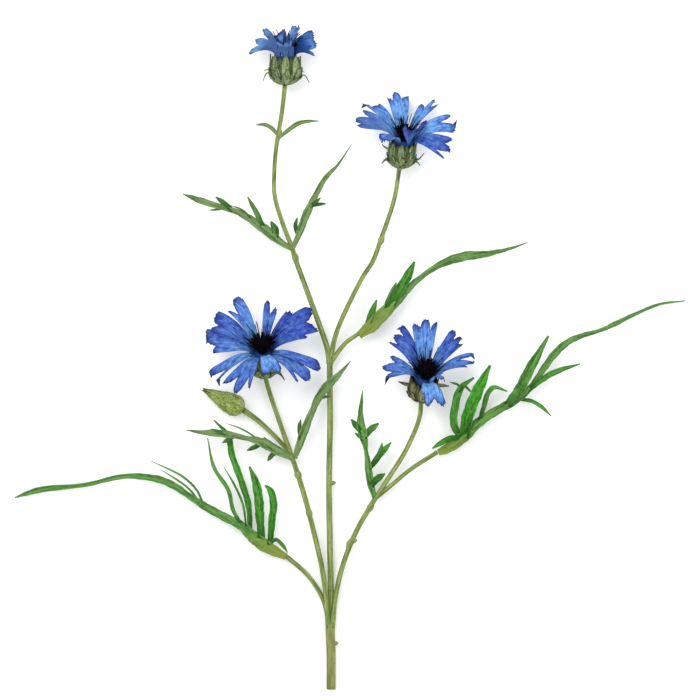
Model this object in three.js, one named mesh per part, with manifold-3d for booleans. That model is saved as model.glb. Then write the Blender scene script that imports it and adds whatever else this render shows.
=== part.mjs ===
// A cut cornflower spray lying on a table: one branching stem with four blooms, a bud and lobed leaves.
// Millimetres. +Y runs along the stem to the flowers, +Z is up, and the surface it lies on is z = 0.
import * as THREE from "three";
import Module from "manifold-3d";

const wasm = await Module();
wasm.setup();

// The driving sizes.
const ORIGIN = [0, 0, 0]; // the middle of the spray's outline on the surface
const BLADE = 0.6; // how thick a petal or a leaf is at its edge
const CLEARANCE = 0.3; // what two touching pieces keep between them
const SLIVER = 0.05; // joined surfaces are tidied this finely
const STEM_SIDES = 7;
const HEAD_HEIGHT = 12.5; // from the end of the stem to the root of the petals
const PETAL_RING = 4; // how far from the bloom's axis the petals root
const PETAL_THROAT = 3; // how far above their roots the petals spread

// ---- Small tools ----

const point = ([x, y, z]) => new THREE.Vector3(x, y, z);
const UP = new THREE.Vector3(0, 0, 1);
const radians = THREE.MathUtils.degToRad;
const mix = THREE.MathUtils.lerp;

// A repeatable stream of numbers from 0 to 1.
function randomStream(seed) {
  let state = seed;
  return () => {
    state = (state * 1664525 + 1013904223) % 4294967296;
    return state / 4294967296;
  };
}

// The value at t (0 to 1) of a row of values spaced evenly along a line.
function along(values, t) {
  const place = t * (values.length - 1);
  const i = Math.min(Math.floor(place), values.length - 2);
  return mix(values[i], values[i + 1], place - i);
}

function smoothLine(places) {
  return new THREE.CatmullRomCurve3(places.map(point), false, "centripetal");
}

// One closed solid from its corners and triangles, turned to face outwards.
function solidOf(corners, triangles) {
  const edge = new THREE.Vector3();
  let volume = 0;
  for (const [a, b, c] of triangles) {
    volume += corners[a].dot(edge.crossVectors(corners[b], corners[c]));
  }
  const outward = volume > 0 ? triangles : triangles.map(([a, b, c]) => [a, c, b]);
  return new wasm.Manifold(
    new wasm.Mesh({
      numProp: 3,
      vertProperties: new Float32Array(corners.flatMap((p) => p.toArray())),
      triVerts: new Uint32Array(outward.flat()),
    }),
  );
}

// Pieces joined into one solid, without the slivers that a join leaves and the hollows that it seals.
function fuse(solids) {
  const bodies = wasm.Manifold.union(solids).simplify(SLIVER).decompose();
  return wasm.Manifold.union(bodies.filter((body) => body.volume() > 0));
}

// A solid with another cut away, keeping its largest body and dropping the crumbs.
function cut(solid, tool) {
  const bodies = solid.subtract(tool).decompose();
  return bodies.reduce((a, b) => (b.volume() > a.volume() ? b : a)).simplify(SLIVER);
}

// Rings of corners joined into a closed skin, each ring listed in the same turning sense.
function skin(rings) {
  const sides = rings[0].length;
  const corners = rings.flat();
  const triangles = [];
  for (let i = 0; i + 1 < rings.length; i++) {
    for (let j = 0; j < sides; j++) {
      const a = i * sides + j;
      const b = i * sides + ((j + 1) % sides);
      triangles.push([a, b, b + sides], [a, b + sides, a + sides]);
    }
  }
  const last = (rings.length - 1) * sides;
  for (let j = 1; j + 1 < sides; j++) {
    triangles.push([0, j + 1, j], [last, last + j, last + j + 1]);
  }
  return solidOf(corners, triangles);
}

// The triangles of a grid of corners listed row by row, turned to mirror each other across its middle.
function gridTriangles(rows, columns) {
  const triangles = [];
  for (let r = 0; r + 1 < rows; r++) {
    for (let c = 0; c + 1 < columns; c++) {
      const a = r * columns + c;
      const [b, d, e] = [a + 1, a + columns + 1, a + columns];
      triangles.push(...(c < (columns - 1) / 2 ? [[a, b, e], [b, d, e]] : [[a, b, d], [a, d, e]]));
    }
  }
  return triangles;
}

// A thin sheet: a front and a back that are cut into triangles alike, and the rim between them.
function sheet(front, back, triangles) {
  const count = front.length;
  const rim = new Map();
  for (const [a, b, c] of triangles) {
    for (const [from, to] of [[a, b], [b, c], [c, a]]) {
      if (!rim.delete(`${to} ${from}`)) rim.set(`${from} ${to}`, [from, to]);
    }
  }
  const behind = triangles.map(([a, b, c]) => [a + count, c + count, b + count]);
  const edges = [...rim.values()].flatMap(([a, b]) => [[b, a, a + count], [b, a + count, b + count]]);
  return solidOf([...front, ...back], [...triangles, ...behind, ...edges]);
}

// A place on a smooth line with its direction, its sideways direction and its upper side.
function frameAt(line, t, across) {
  const forward = line.getTangent(t);
  const side = across ? across.clone() : UP.clone().cross(forward);
  side.addScaledVector(forward, -side.dot(forward)).normalize();
  return { centre: line.getPoint(t), side, upper: new THREE.Vector3().crossVectors(forward, side) };
}

const offset = ({ centre, side, upper }, x, y) =>
  centre.clone().addScaledVector(side, x).addScaledVector(upper, y);

// A round stalk along a smooth line, with its radius given at even steps.
function stalk(places, radii, steps, sides = STEM_SIDES, grow = 0) {
  const line = smoothLine(places);
  const rings = [];
  for (let i = 0; i <= steps; i++) {
    const frame = frameAt(line, i / steps);
    const radius = along(radii, i / steps) + grow;
    const ring = [];
    for (let j = 0; j < sides; j++) {
      const angle = ((j + 0.5) / sides - 0.25) * 2 * Math.PI; // a flat side faces down
      ring.push(offset(frame, radius * Math.cos(angle), radius * Math.sin(angle)));
    }
    rings.push(ring);
  }
  return skin(rings);
}

// A solid of revolution about an axis, from [radius, height] pairs.
function turned(foot, axis, profile, sides) {
  const turn = new THREE.Quaternion().setFromUnitVectors(UP, axis);
  const rings = profile.map(([radius, height]) => {
    const ring = [];
    for (let j = 0; j < sides; j++) {
      const angle = (j / sides) * 2 * Math.PI;
      const corner = new THREE.Vector3(radius * Math.cos(angle), radius * Math.sin(angle), height);
      ring.push(corner.applyQuaternion(turn).add(foot));
    }
    return ring;
  });
  return skin(rings);
}

// ---- The stem ----

// Each stalk: its radius at even steps and the places that it runs through.
const STALKS = {
  foot: {
    radii: [2.1, 2.1, 2.1, 2.15],
    places: [
      [-8.3, -149.2, 1.9], [-8.3, -133.5, 1.9], [-8.6, -126.5, 1.9], [-8.8, -118.5, 2.2],
    ],
  },
  middle: {
    radii: [1.4, 1.4, 1.35],
    places: [
      [-8.4, -122, 1.7], [-8.3, -108.5, 2.3], [-8.9, -79.5, 3.8], [-9.2, -55, 4.6], [-8.7, -27.5, 5.1],
      [-8.8, -2, 5.8], [-8.4, 1, 6],
    ],
  },
  to_first_bloom: {
    radii: [1.3, 1.25, 1.15, 1, 1, 1.05],
    places: [
      [-8.8, -4, 5.6], [-10, 4.5, 6.2], [-13, 13.5, 6.8], [-19.5, 31.5, 7.8], [-24.5, 45, 8.4],
      [-25.7, 49.5, 8.6], [-30, 60.5, 9], [-33.7, 73.5, 9.6], [-33.9, 82, 9.9], [-33, 94.5, 10.4],
      [-30.5, 110, 10.4], [-29, 123, 10.3],
    ],
  },
  to_second_bloom: {
    radii: [1.2, 1.1, 1.1, 1],
    places: [
      [-8.7, -3.5, 5.6], [-7, 7.5, 6.6], [-4.4, 15.5, 7.2], [5.3, 35.5, 8.2], [10.6, 44, 8.4],
      [14, 53.2, 8.4], [20.2, 72, 7.8], [22.5, 86, 7.3],
    ],
  },
  upper_stalk: { radii: [1.1, 0.95], places: [[-8.6, -2, 5.8], [-1.9, 6.8, 5.6], [4, 11.1, 5.4]] },
  left: {
    radii: [1.25, 1.2, 1.2, 1.1, 1.05],
    places: [
      [-9.6, -121.5, 2.9], [-10.4, -108.5, 3.5], [-12, -96.5, 4], [-14.9, -83, 4.5], [-20, -63, 5.1],
      [-25, -47, 5.3], [-29.4, -34.6, 4.7], [-34.8, -19, 3.4], [-37, -12, 3.6], [-38, -7.9, 4.6],
    ],
  },
  bud_stalk: {
    radii: [1.1, 1.05, 1.4],
    places: [
      [-25.6, -45, 5.2], [-29.4, -39.5, 4.8], [-40.2, -28.8, 4.3], [-48, -23.1, 4.5],
    ],
  },
  right: {
    radii: [1.25, 1.2, 1.2, 1.1, 1.05],
    places: [
      [-7.7, -121.5, 2.9], [-6.5, -108.5, 3.8], [-3.1, -93.5, 4.2], [3, -78, 4.7], [9.3, -66.8, 5.1],
      [15.9, -56.4, 5.4], [25.4, -41.3, 5], [31.5, -26.7, 4.1], [32.3, -18, 5],
    ],
  },
  right_stalk: {
    radii: [1.1, 1, 1.1],
    places: [
      [11.3, -63.3, 5.2], [19.7, -56.4, 4.9], [27.3, -50.1, 4.5], [39.6, -42.2, 3.9],
    ],
  },
  left_stalk: {
    radii: [1.1, 1.05, 1.1],
    places: [
      [-9.6, -120, 1.5], [-10.8, -112, 1.4], [-13.3, -105.8, 1.6], [-19, -97.4, 2.4], [-28.4, -89.2, 3.3],
    ],
  },
};
const STALK_STEP = 16; // how far apart a stalk's rings are

// Where the stem thickens, as at a joint: the place, the direction along the stem and the radius.
const KNUCKLES = [
  { place: [-24.3, 45.2, 8.4], along: [-0.25, 1, 0], radius: 1.6 },
  { place: [14.2, 53.2, 8.4], along: [0.35, 1, 0], radius: 1.6 },
  { place: [-18.2, -69.6, 5], along: [-0.3, 1, 0.1], radius: 1.55 },
  { place: [-23.2, -52.4, 5.2], along: [-0.3, 1, 0.1], radius: 1.7 },
  { place: [0.2, -83.4, 4.6], along: [0.5, 1, 0.1], radius: 1.65 },
  { place: [9.4, -67, 5.1], along: [0.55, 1, 0.1], radius: 1.6 },
  { place: [-8.8, -1.5, 5.8], along: [0, 1, 0], radius: 1.8 },
  { place: [-31.7, 100.3, 10.4], along: [0.25, 1, 0], radius: 1.3 },
];
const KNUCKLE_REACH = 2.6;
// Small side buds rubbed off the stem.
const NUBS = [
  { place: [-8, -56.3, 4.5], toward: [1, 0.3, 0.1] },
  { place: [1.6, -82.4, 4.7], toward: [1, 0.4, 0.1] },
  { place: [-6.9, -128.5, 2.4], toward: [1, 0.2, 0.1] },
];

function knuckle({ place, along: way, radius }, grow) {
  const reach = point(way).normalize().multiplyScalar(KNUCKLE_REACH);
  const middle = point(place);
  const places = [-1, 0, 1].map((k) => middle.clone().addScaledVector(reach, k).toArray());
  return stalk(places, [0.9, radius, 0.9], 2, STEM_SIDES, grow);
}

function nub({ place, toward }, grow) {
  const tip = point(place).addScaledVector(point(toward).normalize(), 1.9);
  return stalk([place, tip.toArray()], [1, 0.45], 1, 5, grow);
}

function stemSolid(grow = 0) {
  const solids = Object.values(STALKS).map(({ places, radii }) => {
    const steps = Math.max(3, Math.round(smoothLine(places).getLength() / STALK_STEP));
    return stalk(places, radii, steps, STEM_SIDES, grow);
  });
  KNUCKLES.forEach((k) => solids.push(knuckle(k, grow)));
  NUBS.forEach((n) => solids.push(nub(n, grow)));
  return fuse(solids);
}

// ---- The leaves ----

// A leaf's rib is a row of [x, y, z, blade width, thickness at the rib]; a lobe is its width and the
// places from its root in the rib to its tip.
const LEAVES = {
  leaf_left_long: {
    rib: [
      [-28.6, -89.4, 3.5, 3.2, 2.2], [-38, -84.4, 4.2, 5.8, 3], [-44, -79.8, 4.9, 5.2, 2.6],
      [-48.6, -75.4, 5.3, 4.2, 2], [-57, -71, 6.1, 3.8, 1.6], [-64.6, -66.8, 6.7, 3.6, 1.3],
      [-72, -62, 6.9, 2.8, 1.2], [-78.8, -57.4, 6.8, 3.2, 1.1], [-86, -54.4, 6.3, 3.3, 1],
      [-100.4, -53, 5.2, 2.4, 1], [-119.5, -57, 3.2, 2, 1], [-138.5, -59, 1.3, 2.7, 1],
      [-146, -61, 0.8, 1.9, 0.9], [-151, -62.8, 0.5, 0.5, 0.8],
    ],
    lobes: [
      [1.1, [-65.5, -66, 6.6], [-69.1, -58.7, 8.2], [-75.4, -52.9, 9], [-89.5, -46, 9.6]],
      [0.9, [-67.5, -64.4, 6.7], [-73, -58, 7.2], [-85.5, -49.6, 8.3]],
      [1.9, [-49, -74.2, 5.5], [-52.4, -68.2, 6.5], [-54.5, -59.4, 7.2], [-61, -49, 7.5],
        [-63.9, -35.8, 6.5]],
      [1.1, [-46.6, -75.8, 5.3], [-47.9, -66, 7.4], [-51.5, -57.4, 9.2], [-56.4, -49, 9.9]],
      [3, [-44.8, -77.2, 5.2], [-45.5, -66, 6.4], [-48.8, -54.8, 7.5], [-53, -43, 7.6],
        [-54.6, -34.8, 6.8], [-61, -27.8, 5.9]],
      [4.2, [-39.6, -81.6, 4.5], [-40.4, -70.4, 7.6], [-40.8, -63.6, 9.4], [-42.2, -55.6, 11.1],
        [-45, -48.5, 11.9]],
      [3.4, [-35.8, -84.6, 4.2], [-35, -73.6, 6.7], [-34.2, -65, 8.4], [-35.6, -59.4, 9.2], [-38, -57, 9.6]],
      [1.8, [-37, -83.8, 4], [-33, -81.6, 5.9], [-30, -84.2, 7], [-27.9, -87.4, 7.1]],
    ],
  },
  leaf_right_long: {
    rib: [
      [40, -42.4, 3.9, 3, 2], [44, -40.6, 4.1, 4.4, 2.6], [51, -35.8, 4.5, 5, 2.6],
      [58, -29, 4.9, 4.4, 2.2], [66, -23.6, 5.6, 4, 1.8], [74, -19.2, 6.2, 3.8, 1.4],
      [80, -14.6, 6.8, 3, 1.2], [83.4, -10.4, 7, 2.6, 1.1], [87.6, -4.2, 7, 3, 1.1],
      [92.6, 2.4, 6.8, 3.4, 1.1], [98, 7.2, 6.3, 3, 1], [104.5, 10.2, 5.8, 2.4, 1],
      [113.4, 12.8, 5, 1.8, 1], [119.6, 15.6, 4.4, 2.3, 1], [129.6, 20.4, 3.4, 1.6, 0.9],
      [139.6, 24.4, 2.2, 1.3, 0.9], [151.4, 26, 1, 0.5, 0.8],
    ],
    lobes: [
      [2.6, [51, -35.8, 4.5], [46, -35.8, 5.5], [41.2, -38, 6.2], [37.2, -40.6, 6.3]],
      [3.6, [50.2, -35.8, 4.5], [47, -29.8, 6.4], [47.6, -21, 8.1], [50, -13.4, 9], [56, -8.6, 9]],
      [5.6, [51.5, -35.4, 4.5], [53.3, -25.4, 8.2], [57.4, -15, 11], [63.2, -3, 12.5]],
      [2.4, [58.6, -28.2, 4.9], [60.5, -21.4, 6.6], [62.3, -15.6, 7.5], [65, -13, 8], [71, -14.8, 8]],
      [4.8, [71, -21, 6.1], [76.3, -14.2, 8], [80.8, -5.2, 10], [89.4, 10.2, 11]],
      [2.8, [80, -14.6, 6.8], [86.2, -9.7, 7.6], [92.5, -6.1, 7.8], [103.8, -2.4, 7.4]],
      [1.8, [75.8, -18.4, 6.4], [81.7, -19.1, 6], [86.2, -21.6, 5.1], [90.8, -26, 3.7]],
      [1.2, [48, -18, 8.4], [49.3, -12.4, 9], [45, -10.6, 9]],
      [1.2, [48.4, -17, 8.5], [51.5, -12.6, 9.4], [55.2, -15.6, 9.2]],
    ],
  },
  leaf_upper: {
    rib: [
      [4.2, 10.4, 5.4, 3.4, 2], [10, 14.8, 5.8, 6, 2.6], [17, 22, 6.4, 5.6, 2], [23.4, 28.2, 7, 4, 1.6],
      [28, 33, 7.4, 3, 1.4], [33.8, 37.8, 7.8, 2.4, 1.2], [40, 41.8, 8, 3, 1.1], [46, 44.4, 8, 4, 1.1],
      [53.2, 46.2, 7.8, 4.2, 1.1], [60.2, 46.8, 7.4, 3.2, 1], [67.5, 48.2, 6.8, 2, 1],
      [73.4, 49.8, 6.2, 1.3, 0.9], [80.2, 52.2, 5.5, 0.5, 0.8],
    ],
    lobes: [
      [3, [7.4, 13.2, 5.6], [9.7, 19.6, 6.6], [12.2, 26.4, 7.4]],
      [2.8, [15.4, 20.6, 6.2], [18.2, 27.2, 7.2], [21, 34, 8]],
      [4.2, [18.2, 22.8, 6.4], [22.7, 31.2, 8], [26.3, 37.4, 9], [29.2, 43.6, 9.6]],
    ],
  },
  leaf_top_left: {
    rib: [
      [-25.9, 49.4, 8.6, 2.4, 1.6], [-31.2, 52.4, 9, 3, 1.6], [-37, 57.2, 9.8, 4.4, 1.4],
      [-44.6, 62.6, 10.4, 3.4, 1.2], [-50, 65.6, 10.6, 2.6, 1.1], [-57.5, 68, 10.6, 2.3, 1],
      [-65.3, 70.4, 10.2, 3, 1], [-70.4, 72.2, 9.8, 2.2, 0.9], [-75, 74, 9.4, 0.5, 0.8],
    ],
    lobes: [
      [3.2, [-33.4, 53.8, 9.2], [-33.4, 57.8, 10], [-35.4, 61.6, 10.4]],
      [2.4, [-38.5, 58.3, 9.9], [-41.6, 65, 11], [-45.8, 72.6, 11.6]],
      [0.9, [-43.4, 61.9, 10.3], [-48, 66.6, 11.2], [-53.5, 68.8, 11.4]],
      [2.4, [-52.4, 66.4, 10.6], [-56, 69.5, 11], [-60.2, 72.6, 11.2]],
      [1.1, [-55.6, 67.5, 10.6], [-63, 66.6, 10.6]],
    ],
  },
  leaf_top_right: {
    rib: [
      [-25.5, 49.6, 8.6, 1.8, 1.6], [-22.5, 56.6, 9.4, 3, 1.4], [-19.8, 64, 10.2, 3.6, 1.3],
      [-17.1, 69.6, 10.8, 3.2, 1.2], [-14.8, 74.2, 11.2, 2.6, 1.1], [-11.5, 80.2, 11.5, 2.4, 1],
      [-8.6, 83.6, 11.6, 2, 1], [-5.6, 86.6, 11.6, 1.2, 0.9], [0.9, 96.2, 11.2, 0.4, 0.7],
    ],
    lobes: [
      [1.9, [-23.2, 54.9, 9.1], [-24.3, 59.6, 9.8], [-23.5, 63.4, 10]],
      [1.5, [-17.3, 68.6, 10.7], [-15.3, 70.2, 11.2], [-13, 72.2, 11.4]],
      [1.7, [-17.6, 68.4, 10.7], [-14.2, 69.3, 10.8], [-10.6, 69.5, 10.6]],
    ],
  },
  leaf_mid_left: {
    rib: [
      [-25.6, -45.2, 5.4, 2.2, 1.6], [-32.4, -41.5, 7.2, 4, 1.4], [-38.2, -38.2, 9.1, 4.6, 1.3],
      [-42.1, -36.8, 10.1, 3.2, 1.2], [-47, -35.7, 10.7, 2.2, 1.1], [-52.9, -34.4, 11.1, 3, 1.1],
      [-59.2, -33.6, 10.9, 3.4, 1], [-66.5, -33.2, 10.1, 2, 1], [-73.4, -32.2, 9, 0.5, 0.8],
    ],
    lobes: [
      [1.6, [-34.9, -40.1, 7.9], [-38.4, -35.4, 8.7]],
      [1.6, [-37.6, -38.7, 8.8], [-41.8, -35.2, 9.5]],
      [0.8, [-39.4, -38, 9.4], [-43.9, -34.4, 10.5], [-49.3, -31.3, 11], [-55.4, -29.2, 11.1]],
      [2.4, [-31.6, -41.9, 6.9], [-34.4, -43, 7.2], [-36.9, -46.1, 6.8]],
      [2.2, [-39.4, -38, 9.4], [-42.5, -39.8, 9.7], [-46.2, -41.4, 9.3]],
      [1.9, [-51.5, -34.9, 11.1], [-57.2, -37.9, 10.6]],
      [1.6, [-54.7, -34.2, 11.1], [-62.3, -31.7, 11.2]],
    ],
  },
  leaf_mid_right: {
    rib: [
      [-24.6, -44.8, 5.4, 2.2, 1.6], [-22.1, -37.4, 7.1, 3.6, 1.4], [-19.7, -30.8, 8.4, 3.8, 1.2],
      [-16.7, -23.6, 9.5, 3, 1.1], [-13.8, -17.4, 10, 3.6, 1.1], [-9.9, -12.2, 10.4, 4, 1.1],
      [-6.1, -8.6, 10.4, 3, 1], [-2.8, -5, 10.2, 1.6, 0.9], [0.5, -1.1, 10, 0.5, 0.8],
    ],
    lobes: [
      [1.9, [-21.9, -36.6, 7.4], [-22.6, -31.3, 8], [-21.9, -27.5, 8.3]],
      [1.5, [-14.9, -19.2, 9.8], [-12.4, -17.6, 10], [-8.4, -16.9, 9.8]],
    ],
  },
  leaf_lobed: {
    rib: [
      [11.2, -62.6, 5.5, 2.2, 1.6], [9.3, -55.1, 6.6, 3.4, 1.4], [8.3, -47.6, 7.9, 3, 1.2],
      [7.4, -41.3, 8.7, 1.9, 1.1], [6.5, -36.2, 9.3, 3.6, 1.1], [5.2, -30.5, 9.6, 4, 1.1],
      [4.9, -24.8, 9.4, 2.4, 1], [5.4, -19.4, 9, 1.6, 0.9], [5.9, -14.6, 8.8, 0.5, 0.8],
    ],
    lobes: [
      [3.2, [9.7, -57.4, 6.4], [12.4, -54.2, 6.9], [16, -51.9, 7]],
      [2.2, [8.6, -49.7, 7.6], [11.6, -45.6, 8], [13.9, -41.6, 8.3], [14.7, -37.9, 8.2]],
      [2.8, [9, -49.5, 7.5], [14, -43, 7.9], [18.8, -37.7, 7.8]],
      [3, [6.5, -35.5, 9.3], [9.2, -32.2, 9.4], [13.2, -29.1, 9.3]],
      [2.6, [5.8, -33.5, 9.5], [3.1, -30.4, 9.8], [0.7, -27.3, 9.9]],
      [1.6, [6.6, -36.9, 9.3], [2.4, -33.4, 9.5]],
    ],
  },
  small_leaf_left: {
    rib: [
      [-31.7, 99.8, 10.4, 1.4, 1.3], [-35, 103.5, 10.7, 1.9, 1.1], [-38.2, 105.1, 10.6, 1.7, 1],
      [-42, 105, 10.1, 0.5, 0.8],
    ],
    lobes: [],
  },
  small_leaf_right: {
    rib: [
      [-31.5, 99.4, 10.4, 1.4, 1.3], [-27, 103, 10.9, 2, 1.1], [-23.5, 105.4, 11.1, 2.1, 1],
      [-18.9, 106.6, 10.8, 1.6, 0.9], [-13.9, 106.7, 10.3, 0.5, 0.8],
    ],
    lobes: [],
  },
};
const LEAF_FOLD = 0.16; // how far a blade's edges stand above its rib, for each mm of width
const LOBE_WIDTHS = [0.75, 0.96, 1, 0.86, 0.25]; // a lobe's width along it, as a share of its widest
const LOBE_RIB = 0.9;
const RIB_STEP = 7.5;
const LOBE_STEP = 7.5;

// A blade along a smooth line, thickest at its rib.
function blade(places, widths, ribs, step) {
  const line = smoothLine(places);
  const steps = Math.max(places.length - 1, Math.round(line.getLength() / step));
  const front = [];
  const back = [];
  for (let i = 0; i <= steps; i++) {
    const t = i / steps;
    const frame = frameAt(line, t);
    const half = along(widths, t) / 2;
    const rise = half * 2 * LEAF_FOLD;
    const rib = along(ribs, t) / 2;
    const row = (side) => [
      offset(frame, -half, rise + (side * BLADE) / 2),
      offset(frame, 0, side * rib),
      offset(frame, half, rise + (side * BLADE) / 2),
    ];
    front.push(...row(1));
    back.push(...row(-1));
  }
  return sheet(front, back, gridTriangles(steps + 1, 3));
}

function leafSolid({ rib, lobes }) {
  const column = (k) => rib.map((place) => place[k]);
  const solids = [blade(rib, column(3), column(4), RIB_STEP)];
  for (const [width, ...places] of lobes) {
    const widths = LOBE_WIDTHS.map((share) => share * width);
    solids.push(blade(places, widths, [LOBE_RIB, LOBE_RIB, BLADE + 0.1], LOBE_STEP));
  }
  return fuse(solids);
}

// ---- The blooms ----

// A bloom's foot is where it sits on its stalk. It leans to the right by lean and is lifted off the
// surface by lift, in degrees. Brush and girth are the sizes of its dark tuft and its head, as shares
// of the usual. A petal is [degrees round the axis, degrees up towards the axis, length, width, how
// far its edges curl in, how deep it is cut, degrees that it turns over] and then its lobes, and 90
// degrees round the axis is its low side. A lobe is [the place of its tip across the petal, from -1
// to 1, its share of the length], with the share that the notch after it reaches, if not the usual.
// Spines are the spread bracts: [degrees round the axis, height, reach, how far the tip climbs].
const BLOOMS = [
  {
    name: "first", foot: [-29, 123.3, 10.2], lift: 4, lean: 1, brush: 0.7, girth: 1.14, seed: 11,
    petals: [
      [180, 18, 17.5, 17, 0.3, 0.1, 80, [-0.8, 0.97, 0.74], [-0.1, 0.88, 0.6], [0.7, 0.8]],
      [212, 50, 9, 8, 0.5, 0.1, 0, [-0.5, 0.9], [0.5, 1]],
      [140, 30, 13, 9, 0.5, 0.12, 0, [-0.5, 0.9], [0.5, 1]],
      [275, 76, 9.5, 4.5, 0.5, 0.12, 0, [-0.3, 1], [0.7, 0.86]],
      [55, 30, 13, 9, 0.5, 0.12, 0, [-0.5, 1], [0.5, 0.9]],
      [356, 12, 17.5, 17, 0.3, 0.12, 80, [-0.9, 0.8, 0.66], [-0.15, 0.88, 0.82], [0.6, 0.84]],
      [325, 54, 13, 7, 0.5, 0.12, 0, [-0.1, 1], [0.85, 0.7]],
      [315, 55, 9, 6, 0.5, 0.1, 0, [-0.5, 0.9], [0.5, 1]],
      [264, 14, 10, 10, 0.5, 0.1, 0, [-0.5, 0.9], [0.5, 1]],
    ],
    spines: [
      [178, 4.4, 3.4, -3], [168, 5.8, 3, 0.2], [2, 3.6, 4.6, -2.6],
      [12, 5.4, 1.8, 0.4], [90, 3, 3, -1.5],
    ],
  },
  {
    name: "second", foot: [22.6, 86.3, 7.2], lift: 22, lean: 8, brush: 0.72, girth: 1, seed: 23,
    petals: [
      [114, 37, 22, 13, 0.35, 0.05, 0, [-0.7, 0.93, 0.87], [-0.1, 1, 0.85], [0.95, 0.88]],
      [148, 20, 23, 10, 0.35, 0.05, 0, [-0.3, 0.92], [0.8, 1]],
      [183, 9, 23, 14.5, 0.4, 0.08, 60, [-0.85, 0.96, 0.92], [0.1, 1, 0.81], [0.9, 0.92]],
      [235, 0, 15.5, 8, 0.5, 0.12, 0, [0, 1]],
      [320, 30, 10.5, 20, 0.8, 0.05, 0, [-0.6, 1], [0.2, 0.97], [0.8, 0.9]],
      [340, -4, 23, 11.5, 0.4, 0.1, 50, [-0.95, 0.98, 0.8], [-0.2, 1, 0.89], [0.8, 0.94]],
      [6, 20, 24, 10, 0.4, 0.1, 50, [-0.3, 1, 0.78], [0.8, 0.93]],
      [54, 32, 23, 8.5, 0.6, 0.12, 0, [-0.85, 0.96, 0.84], [-0.1, 1, 0.8], [0.7, 0.84]],
    ],
    spines: [
      [182, 7.5, 3.6, 2], [190, 2.2, 3.6, -1.4], [352, 4.5, 4.4, 4],
      [5, 2.6, 3.8, -1], [272, 1, 1.4, -6],
    ],
  },
  {
    name: "third", foot: [-38.1, -7.6, 4.7], lift: 34, lean: -5, brush: 0.9, girth: 0.96, seed: 37,
    petals: [
      [138, 49, 25, 13, 0.35, 0.1, 0, [-0.5, 1, 0.8], [0.88, 0.92]],
      [164, 27, 25, 14, 0.4, 0.06, -15, [-0.5, 1, 0.9], [0.6, 0.98]],
      [181, 9, 25, 14, 0.4, 0.06, -30, [-0.3, 1, 0.9], [0.8, 0.93]],
      [205, -18, 26.5, 11, 0.6, 0.15, 0, [-0.5, 1, 0.78], [0.85, 1]],
      [239, -22, 28, 17, 0.6, 0.15, 0, [-0.9, 0.92, 0.77], [0.05, 0.98, 0.72], [0.95, 0.9]],
      [279, -3, 21, 10, 0.3, 0.06, 0, [-0.6, 1], [0.6, 0.98]],
      [315, -18, 27.5, 11.5, 0.6, 0.12, 0, [-0.85, 0.96, 0.8], [0.3, 1]],
      [331, -14, 28.5, 10, 0.6, 0.12, 0, [-0.8, 0.84, 0.77], [0.1, 1]],
      [8, 19, 27.5, 18, 0.5, 0.1, 45, [-0.9, 0.83, 0.81], [-0.45, 0.97, 0.89], [0.75, 0.97]],
      [59, 46, 20.5, 8.5, 0.7, 0.12, 0, [-0.6, 0.92], [0.7, 1]],
      [31, 35, 20.5, 4.5, 0.5, 0.1, 0, [0, 1]],
    ],
    spines: [[340, 1.6, 5, -3], [205, 2.4, 2.6, -0.6], [270, 4, 2, 1.5], [60, 3, 3, 0]],
  },
  {
    name: "fourth", foot: [32.3, -17.7, 5], lift: 42, lean: 9, brush: 0.88, girth: 1.04, seed: 51,
    petals: [
      [106, 44, 24, 13.5, 0.35, 0.06, 0, [-0.85, 0.95, 0.87], [-0.1, 1, 0.89], [0.75, 0.94]],
      [150, 30, 23.2, 15, 0.4, 0.1, 0, [-0.75, 1, 0.85], [-0.05, 0.96, 0.84], [0.95, 0.93]],
      [196, 10, 20.5, 16.5, 0.45, 0.08, 0, [-0.85, 0.86, 0.78], [-0.2, 1, 0.85], [0.9, 1]],
      [287, -8, 19.5, 13.5, 0.4, 0.06, 0, [-0.95, 0.8, 0.78], [-0.3, 1, 0.86], [0.8, 1]],
      [325, 22, 12.5, 6.5, 0.5, 0.1, 0, [-0.3, 1], [0.6, 0.8]],
      [9, 20, 22.5, 10, 0.7, 0.1, 0, [-0.8, 0.9, 0.84], [0, 1, 0.8], [0.8, 1]],
      [42, 38, 22.5, 11.5, 0.5, 0.1, 0, [-0.85, 0.95, 0.9], [-0.2, 1, 0.85], [0.65, 1]],
    ],
    spines: [
      [186, 7, 5.6, 1.6], [358, 9, 5.6, 1], [345, 7.5, 3.4, -1],
      [225, 5, 2.4, 2], [60, 4, 3, 0],
    ],
  },
];
const PETAL_ROWS = 4;
const ROOT_SHARE = 0.85; // how much of the ring the petals' roots fill
const PETAL_TUBE = 3.2; // how far a petal runs up before it turns out
const PETAL_ARCH = 16; // how much steeper a petal turns out than it ends, in degrees
const PETAL_GUTTER = 0.6; // half the angle that a petal curls through at its root, in radians
const PETAL_FLARE = 1.5; // the higher it is, the later a petal widens
const TURN_RATE = 1.6; // how soon along its length a petal has turned over
const LOBE_POINT = 2.2; // the higher it is, the blunter the lobes
const SIDE_CUT = 0.6; // how deep a petal's outer sides are cut, as a share of its notches
const TABLE_SOFTNESS = 2.5; // petals bend where they come this near the surface

// The bloom's own directions: its axis, its right and its low side, from the root of its petals.
function bloomFrame({ foot, lift, lean }) {
  const [up, over] = [radians(lift), radians(lean)];
  const axis = point([Math.sin(over) * Math.cos(up), Math.cos(over) * Math.cos(up), Math.sin(up)]);
  const right = point([Math.cos(over), -Math.sin(over), 0]);
  const low = point([Math.sin(over) * Math.sin(up), Math.cos(over) * Math.sin(up), -Math.cos(up)]);
  return { foot: point(foot), axis, right, low };
}

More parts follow.
